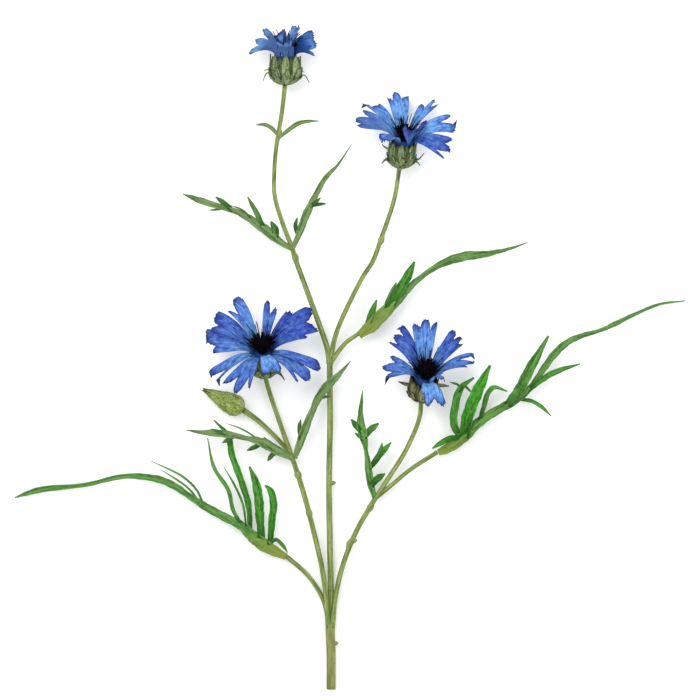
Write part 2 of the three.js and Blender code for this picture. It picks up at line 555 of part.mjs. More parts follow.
// The direction that points round the axis by one angle and up towards it by another.
function heading({ axis, right, low }, round, rise) {
  const [a, e] = [radians(round), radians(rise)];
  return axis
    .clone()
    .multiplyScalar(Math.sin(e))
    .addScaledVector(right, Math.cos(e) * Math.cos(a))
    .addScaledVector(low, Math.cos(e) * Math.sin(a));
}

// Bends a place up from the surface, so that low petals lie on it.
function aboveTable(place) {
  const least = BLADE / 2;
  if (place.z < TABLE_SOFTNESS) {
    const room = TABLE_SOFTNESS - least;
    place.z = least + room * Math.exp((place.z - TABLE_SOFTNESS) / room);
  }
  return place;
}

// A petal's lobes, each with its tip and the notches beside it as [u across, v along].
function lobesOf(cut, tips) {
  const notch = (i) => {
    const [[u, reach, depth], [next, nextReach]] = [tips[i], tips[i + 1]];
    return [(u + next) / 2, depth ?? Math.min(reach, nextReach) - cut];
  };
  return tips.map(([u, reach], i) => ({
    tip: [u, reach],
    left: i > 0 ? notch(i - 1) : [-1, reach - SIDE_CUT * cut],
    right: i + 1 < tips.length ? notch(i) : [1, reach - SIDE_CUT * cut],
  }));
}

// The place on a lobe's outline that lies at a share of the way from its tip to the notch beside it.
function lobeEdge(tip, notch, share) {
  return [mix(tip[0], notch[0], share), mix(tip[1], notch[1], share ** LOBE_POINT)];
}

// A petal spread flat: its corners, each [u across, v along], and its triangles.
function petalNet(cut, tips) {
  const lobes = lobesOf(cut, tips);
  const ends = [lobes[0].left, ...lobes.map(({ right }) => right)];
  const corners = [];
  for (let r = 0; r <= PETAL_ROWS; r++) {
    corners.push(...ends.map(([u, reach]) => [u, (r / PETAL_ROWS) * reach]));
  }
  const triangles = gridTriangles(PETAL_ROWS + 1, ends.length);
  lobes.forEach(({ tip, left, right }, k) => {
    const base = PETAL_ROWS * ends.length + k;
    const first = corners.length;
    corners.push(lobeEdge(tip, left, 0.6), tip, lobeEdge(tip, right, 0.6));
    triangles.push([base, base + 1, first + 2], [base, first + 2, first], [first, first + 2, first + 1]);
  });
  return { corners, triangles };
}

// A place's directions turned over about the line that it lies on.
function turnedOver({ centre, side, upper }, angle) {
  const [cos, sin] = [Math.cos(angle), Math.sin(angle)];
  return {
    centre,
    side: side.clone().multiplyScalar(cos).addScaledVector(upper, sin),
    upper: upper.clone().multiplyScalar(cos).addScaledVector(side, -sin),
  };
}

function petalSolid(frame, [round, rise, length, width, curl, cut, turn, ...tips], rootWidth, grow) {
  const throat = frame.foot.clone().addScaledVector(frame.axis, HEAD_HEIGHT + PETAL_THROAT);
  const outward = heading(frame, round, 0);
  const across = heading(frame, round + 90, 0);
  const root = throat.clone()
    .addScaledVector(frame.axis, -PETAL_THROAT - 1).addScaledVector(outward, PETAL_RING);
  const line = new THREE.CubicBezierCurve3(
    root,
    root.clone().addScaledVector(frame.axis, PETAL_TUBE).addScaledVector(outward, 0.4),
    throat.clone().addScaledVector(heading(frame, round, rise + PETAL_ARCH), length * 0.5),
    throat.clone().addScaledVector(heading(frame, round, rise), length + grow),
  );
  const { corners, triangles } = petalNet(cut, tips);
  const face = (side) => corners.map(([u, v]) => {
    const place = turnedOver(frameAt(line, v, across), radians(turn) * Math.min(1, TURN_RATE * v));
    const half = mix(rootWidth, width, v ** PETAL_FLARE) / 2 + grow;
    const bend = mix(PETAL_GUTTER, curl, Math.min(1, 1.4 * v));
    const x = (half * Math.sin(bend * u)) / bend;
    const y = (half * (1 - Math.cos(bend * u))) / bend;
    return aboveTable(offset(place, x, y)).addScaledVector(place.upper, side * (BLADE / 2 + grow));
  });
  return sheet(face(1), face(-1), triangles);
}

function corollaSolid(bloom, grow = 0) {
  const frame = bloomFrame(bloom);
  const rootWidth = (ROOT_SHARE * 2 * Math.PI * PETAL_RING) / bloom.petals.length;
  const disc = turned(frame.foot, frame.axis, [
    [PETAL_RING + 0.5 + grow, HEAD_HEIGHT - 1.8 - grow],
    [PETAL_RING + 0.5 + grow, HEAD_HEIGHT + grow],
  ], 10);
  return fuse([disc, ...bloom.petals.map((petal) => petalSolid(frame, petal, rootWidth, grow))]);
}

// A pod covered in pointed scales that overlap like tiles, raised from its surface by a formula. Its
// profile and each row's reach are heights above its foot.
function scaleRelief({ count, shift, low, high, rise }, round, height) {
  const v = (height - low) / (high - low);
  if (v < 0 || v > 1) return 0;
  const u = Math.abs((((round / 360) * count + shift + 100.5) % 1) - 0.5) * 2; // 0 on a scale's middle
  const outline = Math.min(1, 1.7 * (1 - v)) + 1e-6;
  return u <= outline ? rise * (0.35 + 0.65 * v) * (1 - 0.5 * (u / outline) ** 2) : 0;
}

function radiusAt(profile, height) {
  const i = profile.findIndex(([, h], k) => k > 0 && (h >= height || k === profile.length - 1));
  const [[r0, h0], [r1, h1]] = [profile[i - 1], profile[i]];
  return mix(r0, r1, (height - h0) / (h1 - h0));
}

// Its crown, where it has one, is a row of points that stand round a flat top.
function scalyPod(frame, { profile, levels, rows, columns, crown }) {
  const place = (round, out, height) => frame.foot.clone()
    .addScaledVector(frame.axis, height).addScaledVector(heading(frame, round, 0), out);
  const rounds = Array.from({ length: columns }, (_, j) => (360 * j) / columns);
  const top = levels[levels.length - 1];
  const rings = levels.map((level) => rounds.map((round, j) => {
    const raised = Math.max(...rows.map((row) => scaleRelief(row, round, level)));
    const standing = crown && level === top && j % crown.every === 0 ? crown.height : 0;
    return place(round, radiusAt(profile, level) + raised, level + standing);
  }));
  if (crown) rings.push(rounds.map((round) => place(round, crown.inside, top)));
  return skin(rings);
}

// The green head under the petals, with a few spread spines.
const HEAD = {
  profile: [[1.3, -0.6], [3.7, 0.8], [5.3, 2.7], [5.8, 5], [5.7, 9], [5.5, HEAD_HEIGHT - 2.3]],
  levels: [-0.6, 0.6, 2.4, 4.2, 5.8, 7.2, 8.8, HEAD_HEIGHT - 2.3],
  rows: [
    { count: 9, shift: 0, low: 2.2, high: 16, rise: 0.9 },
    { count: 9, shift: 0.5, low: 0.6, high: 7.3, rise: 1.2 },
  ],
  columns: 27,
  crown: { every: 3, height: 2.2, inside: 4.9 },
};

// A spine from rows of [half its width, distance from the axis, height].
function spine(frame, round, rows) {
  const [outward, across] = [heading(frame, round, 0), heading(frame, round + 90, 0)];
  const rings = rows.map(([half, out, height]) => {
    const place = (x, y) => frame.foot.clone()
      .addScaledVector(frame.axis, height + y).addScaledVector(outward, out).addScaledVector(across, x);
    return [place(-half, 0), place(0, 0.4), place(half, 0), place(0, -0.4)].map(aboveTable);
  });
  return skin(rings);
}

function headSolid(bloom) {
  const frame = bloomFrame(bloom);
  const profile = HEAD.profile.map(([radius, height]) => [radius * bloom.girth, height]);
  const solids = [scalyPod(frame, { ...HEAD, profile })];
  for (const [round, height, reach, climb] of bloom.spines) {
    const start = radiusAt(profile, height);
    solids.push(spine(frame, round, [
      [1.1, start - 0.8, height - 0.4],
      [0.9, start + 0.5 * reach, height + 0.4],
      [0.2, start + reach, height + climb],
    ]));
  }
  return fuse(solids);
}

// The dark middle: a core that a brush of fine threads stands out of.
const THREADS = 11;
// The tuft's core: [radius, height over the head].
const TUFT = [[2.4, CLEARANCE], [2.8, 3], [3.9, 5.4], [2.2, 6.8]];

function tuftSolid(bloom) {
  const frame = bloomFrame(bloom);
  const random = randomStream(bloom.seed + 1);
  const profile = TUFT.map(([radius, height]) => [radius * bloom.brush, HEAD_HEIGHT + height]);
  const solids = [turned(frame.foot, frame.axis, profile, 8)];
  for (let k = 0; k < THREADS; k++) {
    const long = k % 2 === 0;
    const round = (360 * (k + 0.6 * random())) / THREADS;
    const rise = (long ? 50 : 30) + 24 * random();
    const length = bloom.brush * (long ? 8 + 3 * random() : 4.5 + 1.5 * random());
    const start = frame.foot.clone().addScaledVector(frame.axis, HEAD_HEIGHT + 5);
    start.addScaledVector(heading(frame, round, 0), 2.4 * bloom.brush);
    const end = start.clone().addScaledVector(heading(frame, round, rise), length);
    const middle = start.clone().lerp(end, 0.5).addScaledVector(frame.axis, 0.07 * length);
    const line = [start, middle, end].map((p) => p.toArray());
    solids.push(thread(line, long ? [0.6, 0.36, 0.3] : [0.9, 0.7, 0.3], heading(frame, round + 90, 0)));
  }
  return fuse(solids);
}

function thread(places, radii, across) {
  const line = smoothLine(places);
  const rings = radii.map((radius, i) => {
    const frame = frameAt(line, i / (radii.length - 1), across);
    return [0, 1, 2].map((k) => {
      const angle = (k / 3) * 2 * Math.PI;
      return offset(frame, radius * Math.cos(angle), radius * Math.sin(angle));
    });
  });
  return skin(rings);
}

// ---- The bud ----

const BUD = {
  foot: [-48.1, -23, 4.6],
  axis: [-18.2, 9.2, -0.2],
  profile: [[1.2, -0.4], [3.4, 1.2], [4.4, 4], [4.2, 7], [3.1, 11], [1.7, 15.2], [0.3, 19.9]],
  levels: [-0.4, 1.2, 2.6, 4, 5.6, 7.2, 9.2, 11.4, 13.6, 16, 19.9],
  rows: [
    { count: 7, shift: 0, low: 0.9, high: 5.7, rise: 0.35 },
    { count: 7, shift: 0.5, low: 3.9, high: 9.3, rise: 0.35 },
    { count: 7, shift: 0, low: 7.1, high: 13.7, rise: 0.35 },
    { count: 7, shift: 0.5, low: 11.3, high: 19, rise: 0.3 },
  ],
  columns: 28,
};

function budSolid() {
  const axis = point(BUD.axis).normalize();
  const right = UP.clone().addScaledVector(axis, -axis.z).normalize();
  const low = new THREE.Vector3().crossVectors(axis, right);
  return scalyPod({ foot: point(BUD.foot), axis, right, low }, BUD);
}

// ---- The whole spray ----

const paint = (color, roughness) => new THREE.MeshStandardMaterial({ color, roughness, metalness: 0 });
const PAINTS = {
  stem: paint(0x7f8f3d, 0.55),
  leaf: paint(0x3f8a2c, 0.6),
  head: paint(0x72854f, 0.7),
  petal: paint(0x3d5fd2, 0.75),
  tuft: paint(0x1b1024, 0.8),
  bud: paint(0x8a9c48, 0.6),
};

function meshOf(name, solid, material) {
  const { vertProperties, triVerts, numProp } = solid.getMesh();
  const places = new Float32Array((vertProperties.length / numProp) * 3);
  for (let i = 0; i < places.length / 3; i++) {
    places.set(vertProperties.subarray(i * numProp, i * numProp + 3), i * 3);
  }
  const geometry = new THREE.BufferGeometry();
  geometry.setAttribute("position", new THREE.BufferAttribute(places, 3));
  geometry.setIndex(new THREE.BufferAttribute(new Uint32Array(triVerts), 1));
  geometry.computeVertexNormals();
  const mesh = new THREE.Mesh(geometry, material);
  mesh.name = name;
  return mesh;
}

const spray = new THREE.Group();
spray.name = "cornflower";
const nearStem = stemSolid(CLEARANCE);
const seated = (solid) => cut(solid, nearStem);

spray.add(meshOf("stem", stemSolid(), PAINTS.stem));
for (const [name, shape] of Object.entries(LEAVES)) {
  spray.add(meshOf(name, seated(leafSolid(shape)), PAINTS.leaf));
}
for (const bloom of BLOOMS) {
  const petals = corollaSolid(bloom);
  const nearPetals = wasm.Manifold.union([petals, corollaSolid(bloom, CLEARANCE)]);
  spray.add(meshOf(`${bloom.name}_head`, seated(cut(headSolid(bloom), nearPetals)), PAINTS.head));
  spray.add(meshOf(`${bloom.name}_petals`, petals, PAINTS.petal));
  spray.add(meshOf(`${bloom.name}_tuft`, cut(tuftSolid(bloom), nearPetals), PAINTS.tuft));
}
spray.add(meshOf("bud", seated(budSolid()), PAINTS.bud));
spray.position.set(...ORIGIN);

export default spray;
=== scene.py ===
"""A cut cornflower spray lying on a pale table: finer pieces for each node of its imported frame.

Sizes are in millimetres, as in the frame's source, and become metres where a mesh is made.
"""
import math
import random

import bmesh
import bpy
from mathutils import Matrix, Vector


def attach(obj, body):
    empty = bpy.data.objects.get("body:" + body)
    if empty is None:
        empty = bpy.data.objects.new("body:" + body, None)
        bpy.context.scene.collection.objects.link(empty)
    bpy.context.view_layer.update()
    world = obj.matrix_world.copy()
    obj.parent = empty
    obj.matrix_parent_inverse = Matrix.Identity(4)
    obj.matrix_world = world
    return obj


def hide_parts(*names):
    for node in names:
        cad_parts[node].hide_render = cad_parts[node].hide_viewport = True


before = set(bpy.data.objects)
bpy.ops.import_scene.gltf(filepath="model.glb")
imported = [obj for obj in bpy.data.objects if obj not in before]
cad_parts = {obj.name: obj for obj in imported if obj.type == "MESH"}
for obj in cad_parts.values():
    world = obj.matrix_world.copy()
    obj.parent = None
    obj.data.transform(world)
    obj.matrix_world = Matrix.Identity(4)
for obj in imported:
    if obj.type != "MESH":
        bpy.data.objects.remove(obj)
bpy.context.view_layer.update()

MM = 0.001
UP = Vector((0, 0, 1))
HEAD_HEIGHT = 12.5  # from the end of a stalk to the root of the petals
PETAL_RING = 4  # how far from the bloom's axis the petals root
PETAL_THROAT = 3  # how far above their roots the petals spread
PETAL_TUBE = 3.2  # how far a petal runs up before it turns out
PETAL_ARCH = 16  # how much steeper a petal turns out than it ends, in degrees
PETAL_GUTTER = 0.6  # half the angle that a petal curls through at its root, in radians
ROOT_SHARE = 0.85  # how much of the ring the petals' roots fill
PETAL_FLARE = 1.5  # the higher it is, the later a petal widens
TURN_RATE = 1.6  # how soon along its length a petal has turned over
LOBE_POINT = 2.2  # the higher it is, the blunter the lobes
SIDE_CUT = 0.6  # how deep a petal's outer sides are cut, as a share of its notches
TABLE_SOFTNESS = 2.5  # petals bend where they come this near the surface
TABLE_LEAST = 0.3  # and no place on them is lower than this
LEAF_FOLD = 0.16  # how far a blade's edges stand above its rib, for each mm of width
# A leaf lobe's width along it, as a share of its widest, and its thickness along its middle.
LOBE_WIDTHS = [0.75, 0.96, 1, 0.86, 0.25]
LOBE_RIBS = [0.9, 0.9, 0.6]
# How grey each leaf is, where it is not the same as the rest.
GREYNESS = {"leaf_left_long": 0, "leaf_right_long": 0.05, "leaf_upper": 0.2, "leaf_lobed": 0.05}

# The same places and sizes as the frame's source.
# Each stalk: its radius at even steps and the places that it runs through.
STALKS = {"foot": ([2.1, 2.1, 2.1, 2.15], [
    [-8.3, -149.2, 1.9], [-8.3, -133.5, 1.9], [-8.6, -126.5, 1.9], [-8.8, -118.5, 2.2],
]), "middle": ([1.4, 1.4, 1.35], [
    [-8.4, -122, 1.7], [-8.3, -108.5, 2.3], [-8.9, -79.5, 3.8], [-9.2, -55, 4.6],
    [-8.7, -27.5, 5.1], [-8.8, -2, 5.8], [-8.4, 1, 6],
]), "to_first_bloom": ([1.3, 1.25, 1.15, 1, 1, 1.05], [
    [-8.8, -4, 5.6], [-10, 4.5, 6.2], [-13, 13.5, 6.8], [-19.5, 31.5, 7.8], [-24.5, 45, 8.4],
    [-25.7, 49.5, 8.6], [-30, 60.5, 9], [-33.7, 73.5, 9.6], [-33.9, 82, 9.9], [-33, 94.5, 10.4],
    [-30.5, 110, 10.4], [-29, 123, 10.3],
]), "to_second_bloom": ([1.2, 1.1, 1.1, 1], [
    [-8.7, -3.5, 5.6], [-7, 7.5, 6.6], [-4.4, 15.5, 7.2], [5.3, 35.5, 8.2], [10.6, 44, 8.4],
    [14, 53.2, 8.4], [20.2, 72, 7.8], [22.5, 86, 7.3],
]), "upper_stalk": ([1.1, 0.95], [
    [-8.6, -2, 5.8], [-1.9, 6.8, 5.6], [4, 11.1, 5.4],
]), "left": ([1.25, 1.2, 1.2, 1.1, 1.05], [
    [-9.6, -121.5, 2.9], [-10.4, -108.5, 3.5], [-12, -96.5, 4], [-14.9, -83, 4.5], [-20, -63, 5.1],
    [-25, -47, 5.3], [-29.4, -34.6, 4.7], [-34.8, -19, 3.4], [-37, -12, 3.6], [-38, -7.9, 4.6],
]), "bud_stalk": ([1.1, 1.05, 1.4], [
    [-25.6, -45, 5.2], [-29.4, -39.5, 4.8], [-40.2, -28.8, 4.3], [-48, -23.1, 4.5],
]), "right": ([1.25, 1.2, 1.2, 1.1, 1.05], [
    [-7.7, -121.5, 2.9], [-6.5, -108.5, 3.8], [-3.1, -93.5, 4.2], [3, -78, 4.7], [9.3, -66.8, 5.1],
    [15.9, -56.4, 5.4], [25.4, -41.3, 5], [31.5, -26.7, 4.1], [32.3, -18, 5],
]), "right_stalk": ([1.1, 1, 1.1], [
    [11.3, -63.3, 5.2], [19.7, -56.4, 4.9], [27.3, -50.1, 4.5], [39.6, -42.2, 3.9],
]), "left_stalk": ([1.1, 1.05, 1.1], [
    [-9.6, -120, 1.5], [-10.8, -112, 1.4], [-13.3, -105.8, 1.6], [-19, -97.4, 2.4],
    [-28.4, -89.2, 3.3],
])}
# Where the stem thickens: the place, the direction along the stem and the radius.
KNUCKLES = [
    ([-24.3, 45.2, 8.4], [-0.25, 1, 0], 1.6),
    ([14.2, 53.2, 8.4], [0.35, 1, 0], 1.6),
    ([-18.2, -69.6, 5], [-0.3, 1, 0.1], 1.55),
    ([-23.2, -52.4, 5.2], [-0.3, 1, 0.1], 1.7),
    ([0.2, -83.4, 4.6], [0.5, 1, 0.1], 1.65),
    ([9.4, -67, 5.1], [0.55, 1, 0.1], 1.6),
    ([-8.8, -1.5, 5.8], [0, 1, 0], 1.8),
    ([-31.7, 100.3, 10.4], [0.25, 1, 0], 1.3),
]
# Small side buds rubbed off the stem: the place and the direction.
NUBS = [
    ([-8, -56.3, 4.5], [1, 0.3, 0.1]),
    ([1.6, -82.4, 4.7], [1, 0.4, 0.1]),
    ([-6.9, -128.5, 2.4], [1, 0.2, 0.1]),
]
# Each leaf: its rib, in rows of [x, y, z, blade width, thickness at the rib], and its lobes, each its
# width and the places that it runs through.
LEAVES = {"leaf_left_long": ([
    [-28.6, -89.4, 3.5, 3.2, 2.2], [-38, -84.4, 4.2, 5.8, 3], [-44, -79.8, 4.9, 5.2, 2.6],
    [-48.6, -75.4, 5.3, 4.2, 2], [-57, -71, 6.1, 3.8, 1.6], [-64.6, -66.8, 6.7, 3.6, 1.3],
    [-72, -62, 6.9, 2.8, 1.2], [-78.8, -57.4, 6.8, 3.2, 1.1], [-86, -54.4, 6.3, 3.3, 1],
    [-100.4, -53, 5.2, 2.4, 1], [-119.5, -57, 3.2, 2, 1], [-138.5, -59, 1.3, 2.7, 1],
    [-146, -61, 0.8, 1.9, 0.9], [-151, -62.8, 0.5, 0.5, 0.8],
], [
    [1.1, [-65.5, -66, 6.6], [-69.1, -58.7, 8.2], [-75.4, -52.9, 9], [-89.5, -46, 9.6]],
    [0.9, [-67.5, -64.4, 6.7], [-73, -58, 7.2], [-85.5, -49.6, 8.3]],
    [1.9, [-49, -74.2, 5.5], [-52.4, -68.2, 6.5], [-54.5, -59.4, 7.2], [-61, -49, 7.5],
     [-63.9, -35.8, 6.5]],
    [1.1, [-46.6, -75.8, 5.3], [-47.9, -66, 7.4], [-51.5, -57.4, 9.2], [-56.4, -49, 9.9]],
    [3, [-44.8, -77.2, 5.2], [-45.5, -66, 6.4], [-48.8, -54.8, 7.5], [-53, -43, 7.6],
     [-54.6, -34.8, 6.8], [-61, -27.8, 5.9]],
    [4.2, [-39.6, -81.6, 4.5], [-40.4, -70.4, 7.6], [-40.8, -63.6, 9.4], [-42.2, -55.6, 11.1],
     [-45, -48.5, 11.9]],
    [3.4, [-35.8, -84.6, 4.2], [-35, -73.6, 6.7], [-34.2, -65, 8.4], [-35.6, -59.4, 9.2],
     [-38, -57, 9.6]],
    [1.8, [-37, -83.8, 4], [-33, -81.6, 5.9], [-30, -84.2, 7], [-27.9, -87.4, 7.1]],
]), "leaf_right_long": ([
    [40, -42.4, 3.9, 3, 2], [44, -40.6, 4.1, 4.4, 2.6], [51, -35.8, 4.5, 5, 2.6],
    [58, -29, 4.9, 4.4, 2.2], [66, -23.6, 5.6, 4, 1.8], [74, -19.2, 6.2, 3.8, 1.4],
    [80, -14.6, 6.8, 3, 1.2], [83.4, -10.4, 7, 2.6, 1.1], [87.6, -4.2, 7, 3, 1.1],
    [92.6, 2.4, 6.8, 3.4, 1.1], [98, 7.2, 6.3, 3, 1], [104.5, 10.2, 5.8, 2.4, 1],
    [113.4, 12.8, 5, 1.8, 1], [119.6, 15.6, 4.4, 2.3, 1], [129.6, 20.4, 3.4, 1.6, 0.9],
    [139.6, 24.4, 2.2, 1.3, 0.9], [151.4, 26, 1, 0.5, 0.8],
], [
    [2.6, [51, -35.8, 4.5], [46, -35.8, 5.5], [41.2, -38, 6.2], [37.2, -40.6, 6.3]],
    [3.6, [50.2, -35.8, 4.5], [47, -29.8, 6.4], [47.6, -21, 8.1], [50, -13.4, 9], [56, -8.6, 9]],
    [5.6, [51.5, -35.4, 4.5], [53.3, -25.4, 8.2], [57.4, -15, 11], [63.2, -3, 12.5]],
    [2.4, [58.6, -28.2, 4.9], [60.5, -21.4, 6.6], [62.3, -15.6, 7.5], [65, -13, 8], [71, -14.8, 8]],
    [4.8, [71, -21, 6.1], [76.3, -14.2, 8], [80.8, -5.2, 10], [89.4, 10.2, 11]],
    [2.8, [80, -14.6, 6.8], [86.2, -9.7, 7.6], [92.5, -6.1, 7.8], [103.8, -2.4, 7.4]],
    [1.8, [75.8, -18.4, 6.4], [81.7, -19.1, 6], [86.2, -21.6, 5.1], [90.8, -26, 3.7]],
    [1.2, [48, -18, 8.4], [49.3, -12.4, 9], [45, -10.6, 9]],
    [1.2, [48.4, -17, 8.5], [51.5, -12.6, 9.4], [55.2, -15.6, 9.2]],
]), "leaf_upper": ([
    [4.2, 10.4, 5.4, 3.4, 2], [10, 14.8, 5.8, 6, 2.6], [17, 22, 6.4, 5.6, 2],
    [23.4, 28.2, 7, 4, 1.6], [28, 33, 7.4, 3, 1.4], [33.8, 37.8, 7.8, 2.4, 1.2],
    [40, 41.8, 8, 3, 1.1], [46, 44.4, 8, 4, 1.1], [53.2, 46.2, 7.8, 4.2, 1.1],
    [60.2, 46.8, 7.4, 3.2, 1], [67.5, 48.2, 6.8, 2, 1], [73.4, 49.8, 6.2, 1.3, 0.9],
    [80.2, 52.2, 5.5, 0.5, 0.8],
], [
    [3, [7.4, 13.2, 5.6], [9.7, 19.6, 6.6], [12.2, 26.4, 7.4]],
    [2.8, [15.4, 20.6, 6.2], [18.2, 27.2, 7.2], [21, 34, 8]],
    [4.2, [18.2, 22.8, 6.4], [22.7, 31.2, 8], [26.3, 37.4, 9], [29.2, 43.6, 9.6]],
]), "leaf_top_left": ([
    [-25.9, 49.4, 8.6, 2.4, 1.6], [-31.2, 52.4, 9, 3, 1.6], [-37, 57.2, 9.8, 4.4, 1.4],
    [-44.6, 62.6, 10.4, 3.4, 1.2], [-50, 65.6, 10.6, 2.6, 1.1], [-57.5, 68, 10.6, 2.3, 1],
    [-65.3, 70.4, 10.2, 3, 1], [-70.4, 72.2, 9.8, 2.2, 0.9], [-75, 74, 9.4, 0.5, 0.8],
], [
    [3.2, [-33.4, 53.8, 9.2], [-33.4, 57.8, 10], [-35.4, 61.6, 10.4]],
    [2.4, [-38.5, 58.3, 9.9], [-41.6, 65, 11], [-45.8, 72.6, 11.6]],
    [0.9, [-43.4, 61.9, 10.3], [-48, 66.6, 11.2], [-53.5, 68.8, 11.4]],
    [2.4, [-52.4, 66.4, 10.6], [-56, 69.5, 11], [-60.2, 72.6, 11.2]],
    [1.1, [-55.6, 67.5, 10.6], [-63, 66.6, 10.6]],
]), "leaf_top_right": ([
    [-25.5, 49.6, 8.6, 1.8, 1.6], [-22.5, 56.6, 9.4, 3, 1.4], [-19.8, 64, 10.2, 3.6, 1.3],
    [-17.1, 69.6, 10.8, 3.2, 1.2], [-14.8, 74.2, 11.2, 2.6, 1.1], [-11.5, 80.2, 11.5, 2.4, 1],
    [-8.6, 83.6, 11.6, 2, 1], [-5.6, 86.6, 11.6, 1.2, 0.9], [0.9, 96.2, 11.2, 0.4, 0.7],
], [
    [1.9, [-23.2, 54.9, 9.1], [-24.3, 59.6, 9.8], [-23.5, 63.4, 10]],
    [1.5, [-17.3, 68.6, 10.7], [-15.3, 70.2, 11.2], [-13, 72.2, 11.4]],
    [1.7, [-17.6, 68.4, 10.7], [-14.2, 69.3, 10.8], [-10.6, 69.5, 10.6]],
]), "leaf_mid_left": ([
    [-25.6, -45.2, 5.4, 2.2, 1.6], [-32.4, -41.5, 7.2, 4, 1.4], [-38.2, -38.2, 9.1, 4.6, 1.3],
    [-42.1, -36.8, 10.1, 3.2, 1.2], [-47, -35.7, 10.7, 2.2, 1.1], [-52.9, -34.4, 11.1, 3, 1.1],
    [-59.2, -33.6, 10.9, 3.4, 1], [-66.5, -33.2, 10.1, 2, 1], [-73.4, -32.2, 9, 0.5, 0.8],
], [
    [1.6, [-34.9, -40.1, 7.9], [-38.4, -35.4, 8.7]],
    [1.6, [-37.6, -38.7, 8.8], [-41.8, -35.2, 9.5]],
    [0.8, [-39.4, -38, 9.4], [-43.9, -34.4, 10.5], [-49.3, -31.3, 11], [-55.4, -29.2, 11.1]],
    [2.4, [-31.6, -41.9, 6.9], [-34.4, -43, 7.2], [-36.9, -46.1, 6.8]],
    [2.2, [-39.4, -38, 9.4], [-42.5, -39.8, 9.7], [-46.2, -41.4, 9.3]],
    [1.9, [-51.5, -34.9, 11.1], [-57.2, -37.9, 10.6]],
    [1.6, [-54.7, -34.2, 11.1], [-62.3, -31.7, 11.2]],
]), "leaf_mid_right": ([
    [-24.6, -44.8, 5.4, 2.2, 1.6], [-22.1, -37.4, 7.1, 3.6, 1.4], [-19.7, -30.8, 8.4, 3.8, 1.2],
    [-16.7, -23.6, 9.5, 3, 1.1], [-13.8, -17.4, 10, 3.6, 1.1], [-9.9, -12.2, 10.4, 4, 1.1],
    [-6.1, -8.6, 10.4, 3, 1], [-2.8, -5, 10.2, 1.6, 0.9], [0.5, -1.1, 10, 0.5, 0.8],
], [
    [1.9, [-21.9, -36.6, 7.4], [-22.6, -31.3, 8], [-21.9, -27.5, 8.3]],
    [1.5, [-14.9, -19.2, 9.8], [-12.4, -17.6, 10], [-8.4, -16.9, 9.8]],
]), "leaf_lobed": ([
    [11.2, -62.6, 5.5, 2.2, 1.6], [9.3, -55.1, 6.6, 3.4, 1.4], [8.3, -47.6, 7.9, 3, 1.2],
    [7.4, -41.3, 8.7, 1.9, 1.1], [6.5, -36.2, 9.3, 3.6, 1.1], [5.2, -30.5, 9.6, 4, 1.1],
    [4.9, -24.8, 9.4, 2.4, 1], [5.4, -19.4, 9, 1.6, 0.9], [5.9, -14.6, 8.8, 0.5, 0.8],
], [
    [3.2, [9.7, -57.4, 6.4], [12.4, -54.2, 6.9], [16, -51.9, 7]],
    [2.2, [8.6, -49.7, 7.6], [11.6, -45.6, 8], [13.9, -41.6, 8.3], [14.7, -37.9, 8.2]],
    [2.8, [9, -49.5, 7.5], [14, -43, 7.9], [18.8, -37.7, 7.8]],
    [3, [6.5, -35.5, 9.3], [9.2, -32.2, 9.4], [13.2, -29.1, 9.3]],
    [2.6, [5.8, -33.5, 9.5], [3.1, -30.4, 9.8], [0.7, -27.3, 9.9]],
    [1.6, [6.6, -36.9, 9.3], [2.4, -33.4, 9.5]],
]), "small_leaf_left": ([
    [-31.7, 99.8, 10.4, 1.4, 1.3], [-35, 103.5, 10.7, 1.9, 1.1], [-38.2, 105.1, 10.6, 1.7, 1],
    [-42, 105, 10.1, 0.5, 0.8],
], []), "small_leaf_right": ([
    [-31.5, 99.4, 10.4, 1.4, 1.3], [-27, 103, 10.9, 2, 1.1], [-23.5, 105.4, 11.1, 2.1, 1],
    [-18.9, 106.6, 10.8, 1.6, 0.9], [-13.9, 106.7, 10.3, 0.5, 0.8],
], [])}
